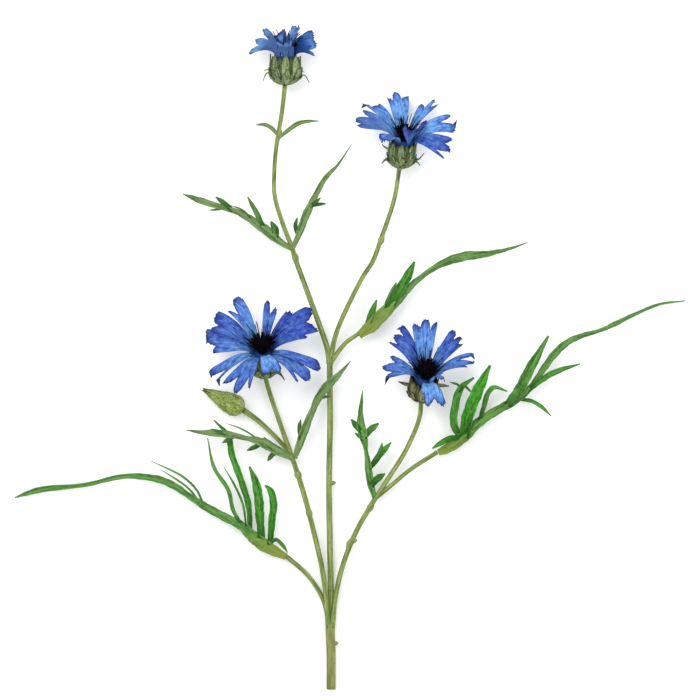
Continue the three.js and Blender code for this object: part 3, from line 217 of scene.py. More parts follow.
# A petal is [degrees round the axis, degrees up, length, width, how far its edges curl in, how deep
# it is cut, degrees that it turns over] and its lobes, each [place across, reach] and sometimes the
# notch after it. A spine, a spread bract, is [degrees round the axis, height, how far it reaches, how
# far its tip climbs].
BLOOMS = [{
    "name": "first", "seed": 11, "foot": [-29, 123.3, 10.2], "lift": 4, "lean": 1,
    "brush": 0.7, "girth": 1.14,
    "petals": [
        [180, 18, 17.5, 17, 0.3, 0.1, 80, [-0.8, 0.97, 0.74], [-0.1, 0.88, 0.6], [0.7, 0.8]],
        [212, 50, 9, 8, 0.5, 0.1, 0, [-0.5, 0.9], [0.5, 1]],
        [140, 30, 13, 9, 0.5, 0.12, 0, [-0.5, 0.9], [0.5, 1]],
        [275, 76, 9.5, 4.5, 0.5, 0.12, 0, [-0.3, 1], [0.7, 0.86]],
        [55, 30, 13, 9, 0.5, 0.12, 0, [-0.5, 1], [0.5, 0.9]],
        [356, 12, 17.5, 17, 0.3, 0.12, 80, [-0.9, 0.8, 0.66], [-0.15, 0.88, 0.82], [0.6, 0.84]],
        [325, 54, 13, 7, 0.5, 0.12, 0, [-0.1, 1], [0.85, 0.7]],
        [315, 55, 9, 6, 0.5, 0.1, 0, [-0.5, 0.9], [0.5, 1]],
        [264, 14, 10, 10, 0.5, 0.1, 0, [-0.5, 0.9], [0.5, 1]],
    ],
    "spines": [
        [178, 4.4, 3.4, -3], [168, 5.8, 3, 0.2], [2, 3.6, 4.6, -2.6], [12, 5.4, 1.8, 0.4],
        [90, 3, 3, -1.5],
    ],
}, {
    "name": "second", "seed": 23, "foot": [22.6, 86.3, 7.2], "lift": 22, "lean": 8,
    "brush": 0.72, "girth": 1,
    "petals": [
        [114, 37, 22, 13, 0.35, 0.05, 0, [-0.7, 0.93, 0.87], [-0.1, 1, 0.85], [0.95, 0.88]],
        [148, 20, 23, 10, 0.35, 0.05, 0, [-0.3, 0.92], [0.8, 1]],
        [183, 9, 23, 14.5, 0.4, 0.08, 60, [-0.85, 0.96, 0.92], [0.1, 1, 0.81], [0.9, 0.92]],
        [235, 0, 15.5, 8, 0.5, 0.12, 0, [0, 1]],
        [320, 30, 10.5, 20, 0.8, 0.05, 0, [-0.6, 1], [0.2, 0.97], [0.8, 0.9]],
        [340, -4, 23, 11.5, 0.4, 0.1, 50, [-0.95, 0.98, 0.8], [-0.2, 1, 0.89], [0.8, 0.94]],
        [6, 20, 24, 10, 0.4, 0.1, 50, [-0.3, 1, 0.78], [0.8, 0.93]],
        [54, 32, 23, 8.5, 0.6, 0.12, 0, [-0.85, 0.96, 0.84], [-0.1, 1, 0.8], [0.7, 0.84]],
    ],
    "spines": [
        [182, 7.5, 3.6, 2], [190, 2.2, 3.6, -1.4], [352, 4.5, 4.4, 4], [5, 2.6, 3.8, -1],
        [272, 1, 1.4, -6],
    ],
}, {
    "name": "third", "seed": 37, "foot": [-38.1, -7.6, 4.7], "lift": 34, "lean": -5,
    "brush": 0.9, "girth": 0.96,
    "petals": [
        [138, 49, 25, 13, 0.35, 0.1, 0, [-0.5, 1, 0.8], [0.88, 0.92]],
        [164, 27, 25, 14, 0.4, 0.06, -15, [-0.5, 1, 0.9], [0.6, 0.98]],
        [181, 9, 25, 14, 0.4, 0.06, -30, [-0.3, 1, 0.9], [0.8, 0.93]],
        [205, -18, 26.5, 11, 0.6, 0.15, 0, [-0.5, 1, 0.78], [0.85, 1]],
        [239, -22, 28, 17, 0.6, 0.15, 0, [-0.9, 0.92, 0.77], [0.05, 0.98, 0.72], [0.95, 0.9]],
        [279, -3, 21, 10, 0.3, 0.06, 0, [-0.6, 1], [0.6, 0.98]],
        [315, -18, 27.5, 11.5, 0.6, 0.12, 0, [-0.85, 0.96, 0.8], [0.3, 1]],
        [331, -14, 28.5, 10, 0.6, 0.12, 0, [-0.8, 0.84, 0.77], [0.1, 1]],
        [8, 19, 27.5, 18, 0.5, 0.1, 45, [-0.9, 0.83, 0.81], [-0.45, 0.97, 0.89], [0.75, 0.97]],
        [59, 46, 20.5, 8.5, 0.7, 0.12, 0, [-0.6, 0.92], [0.7, 1]],
        [31, 35, 20.5, 4.5, 0.5, 0.1, 0, [0, 1]],
    ],
    "spines": [[340, 1.6, 5, -3], [205, 2.4, 2.6, -0.6], [270, 4, 2, 1.5], [60, 3, 3, 0]],
}, {
    "name": "fourth", "seed": 51, "foot": [32.3, -17.7, 5], "lift": 42, "lean": 9,
    "brush": 0.88, "girth": 1.04,
    "petals": [
        [106, 44, 24, 13.5, 0.35, 0.06, 0, [-0.85, 0.95, 0.87], [-0.1, 1, 0.89], [0.75, 0.94]],
        [150, 30, 23.2, 15, 0.4, 0.1, 0, [-0.75, 1, 0.85], [-0.05, 0.96, 0.84], [0.95, 0.93]],
        [196, 10, 20.5, 16.5, 0.45, 0.08, 0, [-0.85, 0.86, 0.78], [-0.2, 1, 0.85], [0.9, 1]],
        [287, -8, 19.5, 13.5, 0.4, 0.06, 0, [-0.95, 0.8, 0.78], [-0.3, 1, 0.86], [0.8, 1]],
        [325, 22, 12.5, 6.5, 0.5, 0.1, 0, [-0.3, 1], [0.6, 0.8]],
        [9, 20, 22.5, 10, 0.7, 0.1, 0, [-0.8, 0.9, 0.84], [0, 1, 0.8], [0.8, 1]],
        [42, 38, 22.5, 11.5, 0.5, 0.1, 0, [-0.85, 0.95, 0.9], [-0.2, 1, 0.85], [0.65, 1]],
    ],
    "spines": [
        [186, 7, 5.6, 1.6], [358, 9, 5.6, 1], [345, 7.5, 3.4, -1], [225, 5, 2.4, 2], [60, 4, 3, 0],
    ],
}]
# Each petal's colour, from 0, sky blue, to 1, deep violet blue.
TONES = {
    "first": [0.25, 0.5, 0.6, 0.9, 0.6, 0.6, 0.4, 0.5, 0.4],
    "second": [0.05, 0.15, 0.8, 0.5, 1.2, 0.85, 0.1, 0.2],
    "third": [0.35, 0.75, 0.5, 0.45, 0.7, -0.2, 0.55, 0.8, 0.95, 0.7, 0.9],
    "fourth": [0.3, 0.85, 0.5, 0.0, 0.3, 0.5, 0.8],
}
# How far the painted shade in a bloom's throat runs out along its petals: the higher, the further.
SHADES = {"first": 3.8, "second": 1, "third": 0.9, "fourth": 0.85}
SHEATHED = ("leaf_left_long", "leaf_right_long", "leaf_upper")  # with a yellow-green base


# ---- Small tools ----


def mix(a, b, t):
    return a + (b - a) * t


def along(values, t):
    """The value at t (0 to 1) of a row of evenly spaced values, joined smoothly."""
    place = t * (len(values) - 1)
    i = min(int(place), len(values) - 2)
    s = place - i
    before = values[max(i - 1, 0)]
    after = values[min(i + 2, len(values) - 1)]
    a, b = values[i], values[i + 1]
    slope_a, slope_b = (b - before) / 2, (after - a) / 2
    smooth = (
        a * (2 * s**3 - 3 * s**2 + 1)
        + slope_a * (s**3 - 2 * s**2 + s)
        + b * (3 * s**2 - 2 * s**3)
        + slope_b * (s**3 - s**2)
    )
    return min(max(smooth, min(a, b)), max(a, b))


class SmoothLine:
    """A centripetal Catmull-Rom line through its places."""

    def __init__(self, places):
        self.places = [Vector(p) for p in places]

    def point(self, t):
        p = self.places
        last = len(p) - 1
        t = min(max(t, 0), 1) * last
        i = min(int(t), last - 1)
        s = t - i
        p0 = p[i - 1] if i > 0 else p[0] * 2 - p[1]
        p1, p2 = p[i], p[i + 1]
        p3 = p[i + 2] if i + 2 <= last else p[last] * 2 - p[last - 1]
        d0, d1, d2 = [math.sqrt((b - a).length) for a, b in ((p0, p1), (p1, p2), (p2, p3))]
        slope1 = ((p1 - p0) / d0 - (p2 - p0) / (d0 + d1) + (p2 - p1) / d1) * d1
        slope2 = ((p2 - p1) / d1 - (p3 - p1) / (d1 + d2) + (p3 - p2) / d2) * d1
        c2 = (p2 - p1) * 3 - slope1 * 2 - slope2
        c3 = (p1 - p2) * 2 + slope1 + slope2
        return p1 + slope1 * s + c2 * s * s + c3 * s**3

    def length(self, steps=60):
        points = [self.point(i / steps) for i in range(steps + 1)]
        return sum((b - a).length for a, b in zip(points, points[1:]))


class BezierLine:
    """A cubic Bezier line."""

    def __init__(self, *corners):
        self.corners = corners

    def point(self, t):
        a, b, c, d = self.corners
        s = 1 - t
        return a * s**3 + b * (3 * s * s * t) + c * (3 * s * t * t) + d * t**3


def frame_at(line, t, across=None):
    """A place on a line with its direction's sideways and upper directions."""
    near = 1e-4
    forward = (line.point(min(t + near, 1)) - line.point(max(t - near, 0))).normalized()
    side = (across if across is not None else UP.cross(forward)).copy()
    side = (side - forward * side.dot(forward)).normalized()
    return line.point(t), side, forward.cross(side)


VALUES = ("across", "along", "tone", "edge", "young", "back")


class Shape:
    """A mesh as it is built, with named values at each of its corners."""

    def __init__(self):
        self.places = []
        self.faces = []
        self.values = {name: [] for name in VALUES}

    def add(self, place, **values):
        self.places.append(place)
        for name in VALUES:
            self.values[name].append(values.get(name, 0.0))
        return len(self.places) - 1

    def skin(self, rings):
        """Closes rings of corners, each a list of (place, values), into a skin."""
        ids = [[self.add(place, **values) for place, values in ring] for ring in rings]
        sides = len(ids[0])
        for near, far in zip(ids, ids[1:]):
            for j in range(sides):
                k = (j + 1) % sides
                self.faces.append((near[j], near[k], far[k], far[j]))
        self.faces.append(tuple(reversed(ids[0])))
        self.faces.append(tuple(ids[-1]))

    def sheet(self, rows):
        """Adds a thin sheet: each corner is (place, upper direction, half thickness, values)."""
        sides = []
        for side in (1, -1):
            back = 1.0 if side < 0 else 0.0
            sides.append([
                [self.add(p + up * (half * side), back=back, **v) for p, up, half, v in row]
                for row in rows
            ])
        front, rear = sides
        last, end = len(rows) - 1, len(rows[0]) - 1
        for r in range(last):
            for c in range(end):
                for a in (front, rear):
                    self.faces.append((a[r][c], a[r + 1][c], a[r + 1][c + 1], a[r][c + 1]))
            for c in (0, end):
                self.faces.append((front[r][c], rear[r][c], rear[r + 1][c], front[r + 1][c]))
        for c in range(end):
            for r in (0, last):
                self.faces.append((front[r][c], front[r][c + 1], rear[r][c + 1], rear[r][c]))

    def piece(self, name, material, node):
        """Makes the object, which stands for a node of the frame."""
        mesh = bpy.data.meshes.new(name)
        mesh.from_pydata([p * MM for p in self.places], [], self.faces)
        for value in VALUES:
            data = mesh.attributes.new(value, "FLOAT", "POINT").data
            data.foreach_set("value", self.values[value])
        made = bmesh.new()
        made.from_mesh(mesh)
        bmesh.ops.recalc_face_normals(made, faces=made.faces)
        made.to_mesh(mesh)
        made.free()
        mesh.polygons.foreach_set("use_smooth", [True] * len(mesh.polygons))
        mesh.materials.append(material)
        obj = add_object(name, mesh)
        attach(obj, "root")
        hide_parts(node)


def add_object(name, data):
    made = bpy.data.objects.new(name, data)
    bpy.context.scene.collection.objects.link(made)
    return made


def add_tube(shape, line, radii, steps, sides, ridges=0.0, across=None, **values):
    """A round tube along a line. Ridges are how far its lengthwise ribs stand out, as a share."""
    length = line.length()
    rings = []
    for i in range(steps + 1):
        t = i / steps
        centre, side, upper = frame_at(line, t, across)
        ring = []
        for j in range(sides):
            angle = ((j + 0.5) / sides - 0.25) * 2 * math.pi
            radius = along(radii, t) * (1 - ridges * (0.5 - 0.5 * math.cos(RIBS * angle)))
            place = centre + (side * math.cos(angle) + upper * math.sin(angle)) * radius
            place.z = max(place.z, 0.0)
            ring.append((place, {"across": j / sides, "along": t * length, **values}))
        rings.append(ring)
    shape.skin(rings)


# ---- The stem ----

STEM_SEED = 3
RIBS = 7  # lengthwise ribs round a stalk
STALK_SIDES = 28
STALK_STEP = 2.5
RIDGES = 0.1  # how deep the ribs are, as a share of the stalk's radius
FOOT_RIDGES = 0.03
KNUCKLE_REACH = 2.6
KNUCKLE_END = 0.85  # its radius where it runs into the stalk
KNUCKLE_RIDGES = 0.05
NUB_REACH = 1.9
NUB_RADII = [1.1, 0.9, 0.35]


def make_stem(material):
    shape = Shape()
    draw = random.Random(STEM_SEED)
    for name, (radii, places) in STALKS.items():
        line = SmoothLine(places)
        steps = max(8, round(line.length() / STALK_STEP))
        ridges, young = (FOOT_RIDGES, 1.0) if name == "foot" else (RIDGES, 0.0)
        add_tube(shape, line, radii, steps, STALK_SIDES, ridges, tone=draw.random(), young=young)
    for place, direction, radius in KNUCKLES:
        reach = Vector(direction).normalized() * KNUCKLE_REACH
        middle = Vector(place)
        line = SmoothLine([middle - reach, middle, middle + reach])
        radii = [KNUCKLE_END, radius, KNUCKLE_END]
        add_tube(shape, line, radii, 10, STALK_SIDES, KNUCKLE_RIDGES, tone=draw.random(), young=0.4)
    for place, toward in NUBS:
        foot = Vector(place)
        tip = foot + Vector(toward).normalized() * NUB_REACH
        line = SmoothLine([foot, foot.lerp(tip, 0.6), tip])
        add_tube(shape, line, NUB_RADII, 6, 12, tone=draw.random(), young=0.6)
    shape.piece("stem_skin", material, "stem")


# ---- The leaves ----

LEAF_THICK = 0.5  # a blade's thickness at its edge
BLADE_COLUMNS = [-1, -0.8, -0.55, -0.3, -0.13, 0, 0.13, 0.3, 0.55, 0.8, 1]
BLADE_STEP = 1.1
EDGE_WAVES = ((0.05, 0.9), (0.03, 2.1))  # how far a blade's edge goes in and out, and how often
SWAY, SWAY_RATE = 0.1, 0.35  # the same for how it goes up and down
FOLD_CURVE = 1.2
RIB_REACH = 0.99  # how far from its middle a rib thickens the blade
RIB_CURVE = 0.7
TIP_LENGTH = 3  # how much of a blade's end has the colour of its edge
SHEATH_LENGTH = 26  # how far a leaf's yellow-green base runs
SHADOW_LENGTH = 11  # how far the painted shade at a lobe's base runs
MAIN_TONE = 0.5
LOBE_TONES = (-0.1, 0.35)
GREY_TONE = 0.5
LEAF_SEED = 11  # the first leaf's, and one more for each leaf after it


def add_blade(shape, places, widths, ribs, draw, tone, start=0.0, young=0.0):
    """A leaf blade along a line, folded up along its rib, with gently waved edges.

    The start is where its pattern starts. The last argument is 1 for a yellow-green base and -1 for a
    base darkened with painted shade.
    """
    line = SmoothLine(places)
    length = line.length()
    steps = max(8, round(length / BLADE_STEP))
    phases = [draw.uniform(0, 2 * math.pi) for _ in range(4)]
    fade = SHEATH_LENGTH if young > 0 else SHADOW_LENGTH
    rows = []
    for i in range(steps + 1):
        t = i / steps
        centre, side, upper = frame_at(line, t)
        half = along(widths, t) / 2
        rib = along(ribs, t) / 2
        run = t * length
        row = []
        for u in BLADE_COLUMNS:
            hand = 0 if u < 0 else 1
            out = 1 + sum(deep * math.sin(run * rate + phases[hand]) for deep, rate in EDGE_WAVES)
            wave = SWAY * half * abs(u) * math.sin(run * SWAY_RATE + phases[2 + hand])
            height = half * 2 * LEAF_FOLD * abs(u) ** FOLD_CURVE + wave
            near_rib = max(0.0, 1 - abs(u) * half / RIB_REACH)
            thick = mix(LEAF_THICK / 2, max(rib, LEAF_THICK / 2), near_rib**RIB_CURVE)
            place = centre + side * (half * u * out) + upper * height
            value = {
                "across": u, "along": start + run, "tone": tone,
                "edge": max(0.0, abs(u), 1 - (1 - t) * length / TIP_LENGTH),
                "young": young * max(0.0, 1 - run / fade),
            }
            row.append((place, upper, thick, value))
        rows.append(row)
    shape.sheet(rows)


def make_leaf(name, rib, lobes, seed, material):
    shape = Shape()
    draw = random.Random(seed)
    grey = GREYNESS.get(name, GREY_TONE)
    x, y, z, widths, ribs = zip(*rib)
    young = 1.0 if name in SHEATHED else 0.0
    add_blade(shape, zip(x, y, z), widths, ribs, draw, MAIN_TONE + grey, young=young)
    for width, *lobe in lobes:
        widths = [width * share for share in LOBE_WIDTHS]
        tone = grey + draw.uniform(*LOBE_TONES)
        # A lobe's base is darkened with painted shade.
        add_blade(shape, lobe, widths, LOBE_RIBS, draw, tone, start=draw.uniform(0, 40), young=-1.0)
    shape.piece(name + "_blade", material, name)


# ---- The blooms ----


def bloom_frame(bloom):
    """The bloom's foot, its axis, its right and its low side."""
    up, over = math.radians(bloom["lift"]), math.radians(bloom["lean"])
    axis = Vector((math.sin(over) * math.cos(up), math.cos(over) * math.cos(up), math.sin(up)))
    right = Vector((math.cos(over), -math.sin(over), 0))
    low = Vector((math.sin(over) * math.sin(up), math.cos(over) * math.sin(up), -math.cos(up)))
    return Vector(bloom["foot"]), axis, right, low


def heading(axes, turn, rise):
    """The direction that points round the axis by one angle and up towards it by another."""
    _, axis, right, low = axes
    a, e = math.radians(turn), math.radians(rise)
    return axis * math.sin(e) + (right * math.cos(a) + low * math.sin(a)) * math.cos(e)


def above_table(place):
    """Bends a place up from the surface, so that low petals lie on it."""
    if place.z < TABLE_SOFTNESS:
        room = TABLE_SOFTNESS - TABLE_LEAST
        place.z = TABLE_LEAST + room * math.exp((place.z - TABLE_SOFTNESS) / room)
    return place


POD_STEPS, POD_SIDES = 16, 40
POD_LEAST = 0.15  # the smallest radius of a pod's core
PETAL_ROWS = 18
LOBE_COLUMNS = 9
PETAL_THICK = 0.26
RAGGED = 0.35  # how far a petal's frayed rim goes in and out
PETAL_LEAN = 0.4  # how far out its tube leans
PETAL_PULL = 0.5  # how far along its length it still arches
PARTING = 0.55  # how far along a petal its lobes start to part
TILTS, CUPS = (-1.2, 1.8), (-0.3, 0.7)  # how far its lobes stand up, and how far they hollow
FLUTTER = 0.3  # how far the whole rim waves
RIPPLE = 0.2  # how far its length ripples
FOLD = 0.12  # how deep its lengthwise folds are
SWERVE = 0.12  # how far its lobes swerve, as a share of its half width


def lobes_of(cut, tips):
    """A petal's lobes: each is its tip and the notches beside it, as (u across, v along)."""

    def notch(i):
        (u, reach, *depth), (after, reach_after, *_) = tips[i], tips[i + 1]
        return (u + after) / 2, depth[0] if depth else min(reach, reach_after) - cut

    lobes = []
    for i, (u, reach, *_) in enumerate(tips):
        left = notch(i - 1) if i else (-1, reach - SIDE_CUT * cut)
        right = notch(i) if i + 1 < len(tips) else (1, reach - SIDE_CUT * cut)
        lobes.append(((u, reach), left, right))
    return lobes


def turned_over(place, side, upper, angle):
    cos, sin = math.cos(angle), math.sin(angle)
    return place, side * cos + upper * sin, upper * cos - side * sin


def petal_outline(cut, tips):
    """A petal's columns: u across, its reach, 0 on a lobe's tip to 1 in a notch, and the lobe."""
    outline = []
    for lobe, (tip, left, right) in enumerate(lobes_of(cut, tips)):
        first = 0 if lobe == 0 else 1
        for k in range(first, 2 * LOBE_COLUMNS + 1):
            share = k / LOBE_COLUMNS - 1
            side = left if share < 0 else right
            off = abs(share)
            u, reach = mix(tip[0], side[0], off), mix(tip[1], side[1], off**LOBE_POINT)
            outline.append((u, reach, off, lobe))
    return outline


def petal_line(axes, around, rise, length):
    """The line up a petal's middle, out of the bloom's throat."""
    foot, axis, _, _ = axes
    throat = foot + axis * (HEAD_HEIGHT + PETAL_THROAT)
    outward = heading(axes, around, 0)
    root = throat - axis * (PETAL_THROAT + 1) + outward * PETAL_RING
    return BezierLine(
        root,
        root + axis * PETAL_TUBE + outward * PETAL_LEAN,
        throat + heading(axes, around, rise + PETAL_ARCH) * (length * PETAL_PULL),
        throat + heading(axes, around, rise) * length,
    )


def petal_waves(u, v, off, half, parted, tilt, cup, phases):
    """How far a place on a petal is off its even curve: sideways and up."""
    lift = FLUTTER * parted * math.sin(4.2 * u + phases[0] + 6 * v)
    lift += tilt * parted**2 * (1 - 0.7 * off)
    lift += cup * parted * (off**2 - 0.4)
    lift += RIPPLE * math.sin(11 * v + phases[1] + 2 * u) * v
    lift += FOLD * v * math.sin(2.6 * half * u + phases[2])
    return SWERVE * half * parted * math.sin(7 * v + phases[2]), lift


def add_petal(shape, axes, petal, tone, shade, root_width, draw):
    """A ray floret: a narrow gutter that fans out into soft, slightly uneven lobes."""
    around, rise, length, width, curl, cut, turn, *tips = petal
    across = heading(axes, around + 90, 0)
    line = petal_line(axes, around, rise, length)
    outline = petal_outline(cut, tips)
    teeth = [draw.uniform(-1, 1) for _ in outline]
    tilts = [draw.uniform(*TILTS) for _ in tips]
    cups = [draw.uniform(*CUPS) for _ in tips]
    phases = [draw.uniform(0, 2 * math.pi) for _ in range(3)]
    rows = []
    for r in range(PETAL_ROWS + 1):
        share = r / PETAL_ROWS
        row = []
        for (u, reach, off, lobe), tooth in zip(outline, teeth):
            v = share * (reach + RAGGED / length * tooth)
            over = math.radians(turn) * min(1, TURN_RATE * v)
            centre, side, upper = turned_over(*frame_at(line, v, across), over)
            half = mix(root_width, width, v**PETAL_FLARE) / 2
            bend = mix(PETAL_GUTTER, curl, min(1, 1.4 * v))
            parted = max(0.0, (v - PARTING) / (1 - PARTING))
            out, lift = petal_waves(u, v, off, half, parted, tilts[lobe], cups[lobe], phases)
            out += half * math.sin(bend * u) / bend
            lift += half * (1 - math.cos(bend * u)) / bend
            place = above_table(centre + side * out + upper * lift)
            rim = max(share**4, abs(u) ** 6 * 0.95, parted * off**4)
            value = {"across": u * half, "along": v * length, "tone": tone, "edge": rim}
            # This value sets the throat's painted shade and the colour towards the petal's tips.
            row.append((place, upper, PETAL_THICK / 2, {**value, "young": v**shade}))
        rows.append(row)
    shape.sheet(rows)


def make_petals(bloom, material):
    axes = bloom_frame(bloom)
    draw = random.Random(bloom["seed"])
    petals = bloom["petals"]
    root_width = ROOT_SHARE * 2 * math.pi * PETAL_RING / len(petals)
    shape = Shape()
    for petal, tone in zip(petals, TONES[bloom["name"]]):
        add_petal(shape, axes, petal, tone, SHADES[bloom["name"]], root_width, draw)
    disc = SmoothLine([axes[0] + axes[1] * (HEAD_HEIGHT - depth) for depth in (1.8, 0.9, 0)])
    add_tube(shape, disc, [PETAL_RING + 0.4] * 3, 3, 24, 0, axes[2], tone=0.5)
    shape.piece(bloom["name"] + "_florets", material, bloom["name"] + "_petals")


def radius_at(profile, height):
    heights = [h for _, h in profile]
    i = next((k for k in range(1, len(heights)) if heights[k] >= height), len(heights) - 1)
    (r0, h0), (r1, h1) = profile[i - 1], profile[i]
    return mix(r0, r1, (height - h0) / (h1 - h0))


def circle(axes, height, radii):
    """The places round a bloom's axis at a height, with a radius for each."""
    foot, axis, _, _ = axes
    for j, radius in enumerate(radii):
        yield foot + axis * height + heading(axes, 360 * j / len(radii), 0) * radius


def add_pod(shape, axes, profile, shrink):
    """The smooth core that a pod's scales lie on."""
    rings = []
    low, high = profile[0][1], profile[-1][1]
    for i in range(POD_STEPS + 1):
        height = mix(low, high, i / POD_STEPS)
        radius = max(POD_LEAST, radius_at(profile, height) - shrink)
        # The core is darkened with painted shade where it shows between the scales.
        value = {"edge": 0.5, "along": height, "tone": 0.3, "young": -1.0}
        rings.append([(p, value) for p in circle(axes, height, [radius] * POD_SIDES)])
    shape.skin(rings)


SCALE_ROWS = 10
SCALE_COLUMNS = [-1, -0.75, -0.4, 0, 0.4, 0.75, 1]
SCALE_HALF = 0.16  # half a scale's thickness
SCALE_ARCH = 0.28  # how far its middle stands above its sides
SHOULDER = 0.35  # how far up a scale it starts to narrow
SCALE_TIP = 0.02
SUNK = -0.75  # the painted shade on the scales that lie in the gaps, down to -1 for the darkest


def add_scale(shape, axes, profile, turn, low, high, half_angle, lift, draw, point):
    """One overlapping scale: a pointed leaflet that follows the pod and stands off it at its tip."""
    foot, axis, _, _ = axes
    tone = draw.random()
    top = profile[-1][1]
    rows = []
    for r in range(SCALE_ROWS + 1):
        s = r / SCALE_ROWS
        height = mix(low, high, s)
        taper = max(0.0, s - SHOULDER) / (1 - SHOULDER)
        outline = max(SCALE_TIP, 1 - taper**point)
        row = []
        for u in SCALE_COLUMNS:
            around = turn + half_angle * outline * u
            outward = heading(axes, around, 0)
            radius = radius_at(profile, min(height, top)) + lift * (0.2 + 0.8 * s)
            radius += SCALE_ARCH * (1 - u * u)
            place = above_table(foot + axis * height + outward * radius)
            value = {"across": u, "along": height, "tone": tone, "edge": max(abs(u) ** 3, s**5)}
            # Scales with no lift lie in the gaps and are darkened with painted shade.
            row.append((place, outward, SCALE_HALF, {**value, "young": s if lift > 0 else SUNK}))
        rows.append(row)
    shape.sheet(rows)


HEAD = {
    # Its [radius, height] from its foot up.
    "profile": [[1.3, -0.6], [3.7, 0.8], [5.3, 2.7], [5.8, 5], [5.7, 9], [5.5, 10.2], [5.4, 13.2]],
    # Each row of scales: how many, its shift, its lowest and highest height, its lift, its width, how
    # blunt the scales are and how unruly.
    "rows": [
        # The row with no lift lies in the gaps and is darkened with painted shade.
        [8, 0.5, 3.4, 12.6, 0.0, 0.7, 3, 0.4],
        [8, 0, 2.6, 13.2, 0.45, 0.76, 3, 0.4],
        [8, 0.3, 1.0, 7.0, 0.75, 0.7, 2, 0.9],
        [11, 0, 0.2, 4.8, 0.9, 0.8, 1.5, 0.9],
        [11, 0.5, -0.3, 3.2, 0.8, 0.8, 1.5, 0.8],
    ],
}


def add_scales(shape, axes, pod, draw):
    for count, shift, low, high, lift, width, point, wild in pod["rows"]:
        for k in range(count):
            turn = 360 * (k + shift) / count + draw.uniform(-8, 8) * wild
            top = high + draw.uniform(-1, 1) * wild
            stand = lift * (1 + draw.uniform(-0.3, 0.6) * wild)
            half = 180 / count * width
            add_scale(shape, axes, pod["profile"], turn, low, top, half, stand, draw, point)


SPINE_STEPS = 10
SPINE_COLUMNS = [-1, -0.5, 0, 0.5, 1]
SPINE_HOLLOW = 0.25  # how far its sides turn up, as a share of its half width
SPINE_WIDTHS = [1.3, 1.0, 0.15]  # half its width at its root, middle and tip
CORE_SHRINK = 0.4  # how far under the scales a head's core lies


def add_spine(shape, axes, turn, start, height, reach, climb, draw):
    """A spread bract: a thin strip that leaves the head and curls at its tip."""
    foot, axis, _, _ = axes
    outward, across = heading(axes, turn, 0), heading(axes, turn + 90, 0)
    places = [
        (start - 0.8, height - 0.4),
        (start + 0.5 * reach, height + 0.4),
        (start + reach, height + climb),
    ]
    line = SmoothLine([foot + axis * h + outward * out for out, h in places])
    tone = draw.random()
    grid = []
    for i in range(SPINE_STEPS + 1):
        t = i / SPINE_STEPS
        centre, side, upper = frame_at(line, t, across)
        half = along(SPINE_WIDTHS, t)
        row = []
        for u in SPINE_COLUMNS:
            place = above_table(centre + side * (half * u) + upper * (SPINE_HOLLOW * half * u * u))
            value = {"across": u, "along": t * 5, "tone": tone, "edge": t, "young": t}
            row.append((place, upper, SCALE_HALF, value))
        grid.append(row)
    shape.sheet(grid)


def make_head(bloom, material):
    axes = bloom_frame(bloom)
    draw = random.Random(bloom["seed"] + 100)
    shape = Shape()
    profile = [[radius * bloom["girth"], height] for radius, height in HEAD["profile"]]
    add_pod(shape, axes, profile[:-1], CORE_SHRINK)
    add_scales(shape, axes, {**HEAD, "profile": profile}, draw)
    for turn, height, reach, climb in bloom["spines"]:
        add_spine(shape, axes, turn, radius_at(profile, height), height, reach, climb, draw)
    shape.piece(bloom["name"] + "_bracts", material, bloom["name"] + "_head")


TUFT = [[2.4, 0.3], [2.8, 3], [3.9, 5.4], [2.2, 6.8]]  # its core: [radius, height over the head]
TUFT_STEPS, TUFT_SIDES = 10, 32
TUFT_BUMPS = 0.12  # how rough the core is, as a share of its radius
THREAD_ROOT = 2.5  # how high over the head the threads start
THREAD_SPREAD = 8  # how unevenly they rise, in degrees
THREAD_BEND = 0.12  # the most that a long thread bends, as a share of its length
# How many, how often they go round, how far out they start, degrees up at the middle and at the rim,
# their length, their bend where it's the same for all, and their radius.
SHORT_THREADS = (120, 7, 3.3, (86, 46), (4.5, 7), 0.05, 0.24)
LONG_THREADS = (30, 5, 3.2, (84, 50), (8, 13), None, 0.19)


def add_thread(shape, axes, turn, out, rise, length, bend, radius, tone):
    foot, axis, _, _ = axes
    start = foot + axis * (HEAD_HEIGHT + THREAD_ROOT) + heading(axes, turn, 0) * out
    end = start + heading(axes, turn, rise) * length
    middle = start.lerp(end, 0.5) + axis * (bend * length)
    line = SmoothLine([start, middle, end])
    radii = [radius, radius * 0.8, radius * 0.9]
    add_tube(shape, line, radii, 6, 5, across=heading(axes, turn + 90, 0), tone=tone)


def add_threads(shape, axes, kind, brush, shorter, draw):
    count, rounds, spread, rises, lengths, bend, radius = kind
    for k in range(count):
        turn = 360 * (k + draw.random()) / count * rounds
        out = spread * math.sqrt(draw.random())
        rise = mix(*rises, out / spread) + draw.uniform(-THREAD_SPREAD, THREAD_SPREAD)
        length = shorter * draw.uniform(*lengths)
        curve = bend or draw.uniform(0.0, THREAD_BEND)
        add_thread(shape, axes, turn, brush * out, rise, length, curve, radius, draw.random())


def make_tuft(bloom, material):
    axes = bloom_frame(bloom)
    draw = random.Random(bloom["seed"] + 200)
    brush = bloom["brush"]
    shape = Shape()
    rings = []
    for i in range(TUFT_STEPS + 1):
        t = i / TUFT_STEPS
        height = HEAD_HEIGHT + along([h for _, h in TUFT], t)
        radius = brush * along([r for r, _ in TUFT], t)
        radii = [radius * (1 - TUFT_BUMPS * ((i + j) % 2)) for j in range(TUFT_SIDES)]
        rings.append([(p, {"tone": 0.2, "along": height}) for p in circle(axes, height, radii)])
    shape.skin(rings)
    add_threads(shape, axes, SHORT_THREADS, brush, brush, draw)
    add_threads(shape, axes, LONG_THREADS, brush, min(1, brush + 0.1), draw)
    shape.piece(bloom["name"] + "_threads", material, bloom["name"] + "_tuft")


# ---- The bud ----

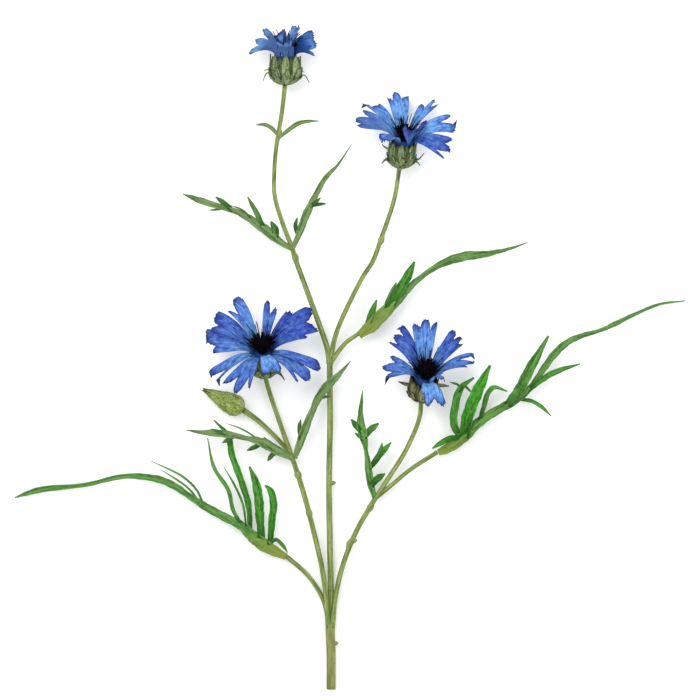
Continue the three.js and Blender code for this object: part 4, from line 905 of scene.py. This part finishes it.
BUD = {
    "foot": [-48.1, -23, 4.6],
    "axis": [-18.2, 9.2, -0.2],
    "shrink": 0.1,
    "seed": 71,
    "profile": [[1.2, -0.4], [3.4, 1.2], [4.4, 4], [4.2, 7], [3.1, 11], [1.7, 15.2], [0.3, 19.9]],
    "rows": [
        [8, 0.5, 9.5, 19.9, 0.1, 1.15, 1.5, 0.4],
        [8, 0, 6.5, 17, 0.15, 1.1, 1.5, 0.4],
        [8, 0.5, 4.2, 13.6, 0.2, 1.1, 1.5, 0.4],
        [8, 0, 2.2, 10.4, 0.25, 1.05, 1.5, 0.4],
        [8, 0.5, 0.6, 7, 0.3, 1.0, 1.5, 0.4],
        [8, 0, -0.2, 4.2, 0.3, 1.0, 1.5, 0.4],
    ],
}


def make_bud(material):
    foot, axis = Vector(BUD["foot"]), Vector(BUD["axis"]).normalized()
    right = (UP - axis * axis.z).normalized()
    axes = (foot, axis, right, axis.cross(right))
    shape = Shape()
    add_pod(shape, axes, BUD["profile"], BUD["shrink"])
    add_scales(shape, axes, BUD, random.Random(BUD["seed"]))
    shape.piece("bud_scales", material, "bud")


# ---- Materials ----


def linear(text):
    """A colour given as a web colour, in Blender's linear numbers."""
    parts = [int(text[i:i + 2], 16) / 255 for i in (0, 2, 4)]
    return (*[p / 12.92 if p <= 0.04045 else ((p + 0.055) / 1.055) ** 2.4 for p in parts], 1)


TONE_STEP = 60.0  # how far a tone of 1 moves a piece's pattern


class Paint:
    """A material and the few kinds of node that the colours are mixed with."""

    def __init__(self, name, **sockets):
        self.material = bpy.data.materials.new(name)
        self.material.use_nodes = True
        self.tree = self.material.node_tree
        self.shader = self.tree.nodes["Principled BSDF"]
        for socket, value in sockets.items():
            self.shader.inputs[socket.replace("_", " ")].default_value = value

    def node(self, kind, inputs=(), **settings):
        made = self.tree.nodes.new("ShaderNode" + kind)
        for key, value in settings.items():
            setattr(made, key, value)
        for socket, value in zip(made.inputs, inputs):
            self.feed(socket, value)
        return made

    def feed(self, socket, value):
        """Gives a socket a colour, a number or another node's result, or leaves it as it is."""
        if isinstance(value, bpy.types.NodeSocket):
            self.tree.links.new(value, socket)
        elif value is not None:
            socket.default_value = linear(value) if isinstance(value, str) else value

    def value(self, name):
        return self.node("Attribute", attribute_name=name).outputs["Fac"]

    def math(self, operation, a, b=0.0):
        return self.node("Math", (a, b), operation=operation).outputs[0]

    def spread(self, value, low, high, to_low=0.0, to_high=1.0):
        return self.node("MapRange", (value, low, high, to_low, to_high)).outputs[0]

    def mixed(self, share, a, b):
        made = self.node("Mix", data_type="RGBA")
        for i, value in ((0, share), (6, a), (7, b)):
            self.feed(made.inputs[i], value)
        return made.outputs[2]

    def noise(self, vector, scale, detail):
        return self.node("TexNoise", (vector, None, scale, detail)).outputs[0]

    def grain(self, across, run, detail):
        """Noise drawn out over a piece's own coordinates, with a pattern of its own for each tone."""
        rates = (("across", across), ("along", run), ("tone", TONE_STEP))
        place = [self.math("MULTIPLY", self.value(name), rate) for name, rate in rates]
        return self.noise(self.node("CombineXYZ", place).outputs[0], 1.0, detail)

    def mottle(self, scale, detail):
        """Even noise over the whole spray."""
        return self.noise(self.node("TexCoord").outputs["Object"], scale, detail)

    def bump(self, height, strength, distance):
        made = self.node("Bump")
        for name, value in (("Strength", strength), ("Distance", distance), ("Height", height)):
            self.feed(made.inputs[name], value)
        self.feed(self.shader.inputs["Normal"], made.outputs[0])

    def done(self, share, low, high, layers=()):
        """Mixes two colours and lays others over them, then gives them to the shader.

        A layer is a value, where it starts and where it is full, how much of its colour it then has,
        the colour and sometimes a share that the whole layer is held to.
        """
        base = self.mixed(share, low, high)
        for value, start, full, most, colour, *held in layers:
            amount = self.spread(value, start, full, 0.0, most)
            if held:
                amount = self.math("MULTIPLY", held[0], amount)
            base = self.mixed(amount, base, colour)
        self.feed(self.shader.inputs["Base Color"], base)
        return self.material


def petal_paint():
    paint = Paint("petal_cloth", Roughness=0.75, Specular_IOR_Level=0.1)
    tone, v, edge = paint.value("tone"), paint.value("young"), paint.value("edge")
    calm = paint.spread(tone, 0.0, 1.0, 1.0, 0.35)  # deep petals have fewer light patches and weaker painted highlights
    streak, blotch = paint.grain(3.4, 0.2, 5.0), paint.grain(0.6, 0.3, 3.0)
    pleat = paint.math("SINE", paint.math("MULTIPLY", paint.value("across"), 3.6))
    crinkle_light_and_shade = paint.mottle(600.0, 5.0)
    light = paint.mixed(paint.spread(v, 0.2, 1.0), "7cc0f0", "6a9eea")
    deep = paint.mixed(paint.spread(v, 0.3, 1.0), "2450a6", "3c46ac")
    paint.bump(streak, 0.6, 0.0004)
    return paint.done(tone, light, deep, [
        (v, 0.72, 1.0, 0.4, "3c48b4"),
        (blotch, 0.45, 0.65, 0.6, "7ab4f0", calm),
        (blotch, 0.46, 0.32, 0.6, "20389c"),
        (streak, 0.5, 0.66, 0.7, "1a2c8a"),
        (streak, 0.44, 0.28, 0.65, "98c0f2", calm),
        # Painted highlights and painted shade on the petals' crinkles.
        (crinkle_light_and_shade, 0.52, 0.72, 0.35, "a6c8f0", calm),
        (crinkle_light_and_shade, 0.47, 0.32, 0.45, "1a2884"),
        (pleat, 0.2, 1.0, 0.25, "2c3c9c"),
        (v, 0.42, 0.12, 0.9, "123474"),  # painted shade in the throat
        (edge, 0.66, 0.97, 0.75, "1a2264"),
        (paint.value("back"), 0.0, 1.0, 0.2, "7fa4d8"),
    ])


def leaf_paint():
    paint = Paint("leaf_cloth", Roughness=0.65, Specular_IOR_Level=0.08)
    edge, young = paint.value("edge"), paint.value("young")
    side = paint.math("ABSOLUTE", paint.value("across"))
    grain, patch = paint.grain(5.0, 0.35, 4.0), paint.grain(1.4, 0.09, 3.0)
    run = paint.math("MULTIPLY", paint.value("along"), 2.2)
    vein = paint.math("SINE", paint.math("SUBTRACT", run, paint.math("MULTIPLY", side, 3.0)))
    paint.bump(grain, 0.4, 0.0003)
    return paint.done(paint.value("tone"), "2a8a10", "75865a", [
        (patch, 0.42, 0.62, 0.75, "18520a"),
        (patch, 0.48, 0.3, 0.45, "5aa838"),
        (grain, 0.52, 0.74, 0.4, "94ac84"),
        (grain, 0.46, 0.26, 0.75, "123c08"),
        (vein, 0.6, 1.0, 0.2, "6f9a54"),
        (side, 0.16, 0.0, 0.35, "8a9a58"),
        (edge, 0.86, 1.0, 0.5, "9aa890"),
        (young, 0.0, -1.0, 0.85, "0f3c06"),  # painted shade at a lobe's base
        (young, 0.1, 0.9, 0.75, "8c943e"),  # the yellow-green sheath
        (paint.value("back"), 0.0, 1.0, 0.5, "7c9670"),
    ])


def stem_paint():
    paint = Paint("stem_skin", Roughness=0.5, Specular_IOR_Level=0.2)
    grain = paint.grain(9.0, 0.12, 4.0)
    paint.bump(grain, 0.3, 0.0003)
    return paint.done(paint.spread(grain, 0.3, 0.7), "465a20", "9aaa62", [
        (paint.mottle(900.0, 3.0), 0.55, 0.72, 0.6, "3c4a1c"),
        (paint.value("young"), 0.0, 1.0, 0.45, "858250"),
    ])


def scale_paint(name, dark, light, rim, shade):
    paint = Paint(name, Roughness=0.7, Specular_IOR_Level=0.1)
    grain, mottle = paint.grain(3.0, 0.25, 4.0), paint.mottle(1300.0, 4.0)
    paint.bump(grain, 0.5, 0.0004)
    return paint.done(paint.value("tone"), dark, light, [
        (grain, 0.5, 0.68, 0.7, rim),
        (grain, 0.47, 0.3, 0.75, shade),
        (mottle, 0.5, 0.32, 0.65, shade),
        (mottle, 0.55, 0.7, 0.5, rim),
        # Painted shade along the sides and tips of the scales, which also darkens the spines towards
        # their tips.
        (paint.value("edge"), 0.4, 0.9, 0.7, shade),
        (paint.value("young"), -0.2, -1.0, 0.9, shade),  # painted shade between the scales
    ])


def tuft_paint():
    paint = Paint("tuft_threads", Roughness=0.85, Specular_IOR_Level=0.05)
    tone = paint.value("tone")
    layers = [(tone, 0.12, 0.0, 0.6, "10122e")]
    return paint.done(paint.spread(tone, 0.6, 1.0), "060409", "240a16", layers)


def floor_paint():
    paint = Paint("pale_table", Roughness=0.9, Specular_IOR_Level=0.1, Emission_Strength=0.15)
    return paint.done(paint.spread(paint.mottle(400.0, 3.0), 0.3, 0.7), "f7f7f7", "fafafa")


# ---- The scene ----

PICTURE_PIXELS = 700
PIXEL_MM = 0.45  # what one pixel of the picture shows, at the height where its scale holds
VIEW_MIDDLE = (0.2, 3.8)  # where the camera looks on the table, in mm
VIEW_WIDTH = PICTURE_PIXELS * PIXEL_MM
CAMERA_HEIGHT = 3.0
SENSOR = 36
SPRAY_HEIGHT = 7  # how high above the table the picture's scale holds, in mm
FLOOR_SIZE = 12
FLOOR_HEIGHT = -5e-5  # just under the lowest pieces
SKY_STRENGTH = 0.75


def make_camera():
    data = bpy.data.cameras.new("camera")
    data.sensor_width = SENSOR
    data.lens = SENSOR * (CAMERA_HEIGHT - SPRAY_HEIGHT * MM) / (VIEW_WIDTH * MM)
    data.clip_start, data.clip_end = 0.1, 50
    camera = add_object("camera", data)
    camera.location = (VIEW_MIDDLE[0] * MM, VIEW_MIDDLE[1] * MM, CAMERA_HEIGHT)
    bpy.context.scene.camera = camera


def make_light(name, place, size, power):
    data = bpy.data.lights.new(name, "AREA")
    data.shape = "DISK"
    data.size = size
    data.energy = power
    light = add_object(name, data)
    light.location = place
    light.rotation_mode = "QUATERNION"
    light.rotation_quaternion = Vector(place).to_track_quat("Z", "Y")


def make_stage():
    mesh = bpy.data.meshes.new("table")
    half = FLOOR_SIZE / 2
    corners = [(-half, -half), (half, -half), (half, half), (-half, half)]
    mesh.from_pydata([(x, y, FLOOR_HEIGHT) for x, y in corners], [], [(0, 1, 2, 3)])
    mesh.materials.append(floor_paint())
    table = add_object("table", mesh)
    world = bpy.data.worlds.new("studio")
    world.use_nodes = True
    colour, strength = world.node_tree.nodes["Background"].inputs[:2]
    colour.default_value, strength.default_value = (1, 1, 1, 1), SKY_STRENGTH
    bpy.context.scene.world = world
    bpy.context.scene.view_settings.view_transform = "Standard"
    make_light("key", (-0.7, 0.9, 2.0), 1.6, 24)
    make_light("fill", (1.2, -0.4, 1.6), 1.6, 12)


def main():
    make_stem(stem_paint())
    leaf = leaf_paint()
    for seed, (name, (rib, lobes)) in enumerate(LEAVES.items(), start=LEAF_SEED):
        make_leaf(name, rib, lobes, seed, leaf)
    petal, tuft = petal_paint(), tuft_paint()
    green = scale_paint("head_scales", "536539", "839960", "a8b498", "1e2812")
    brown = scale_paint("brown_scales", "5a6038", "8c925e", "a8aa90", "262812")
    for bloom in BLOOMS:
        make_head(bloom, brown if bloom["name"] == "fourth" else green)
        make_petals(bloom, petal)
        make_tuft(bloom, tuft)
    make_bud(scale_paint("bud_scales", "74883c", "9aaa58", "bcc58a", "4c5c26"))
    make_stage()
    make_camera()


main()
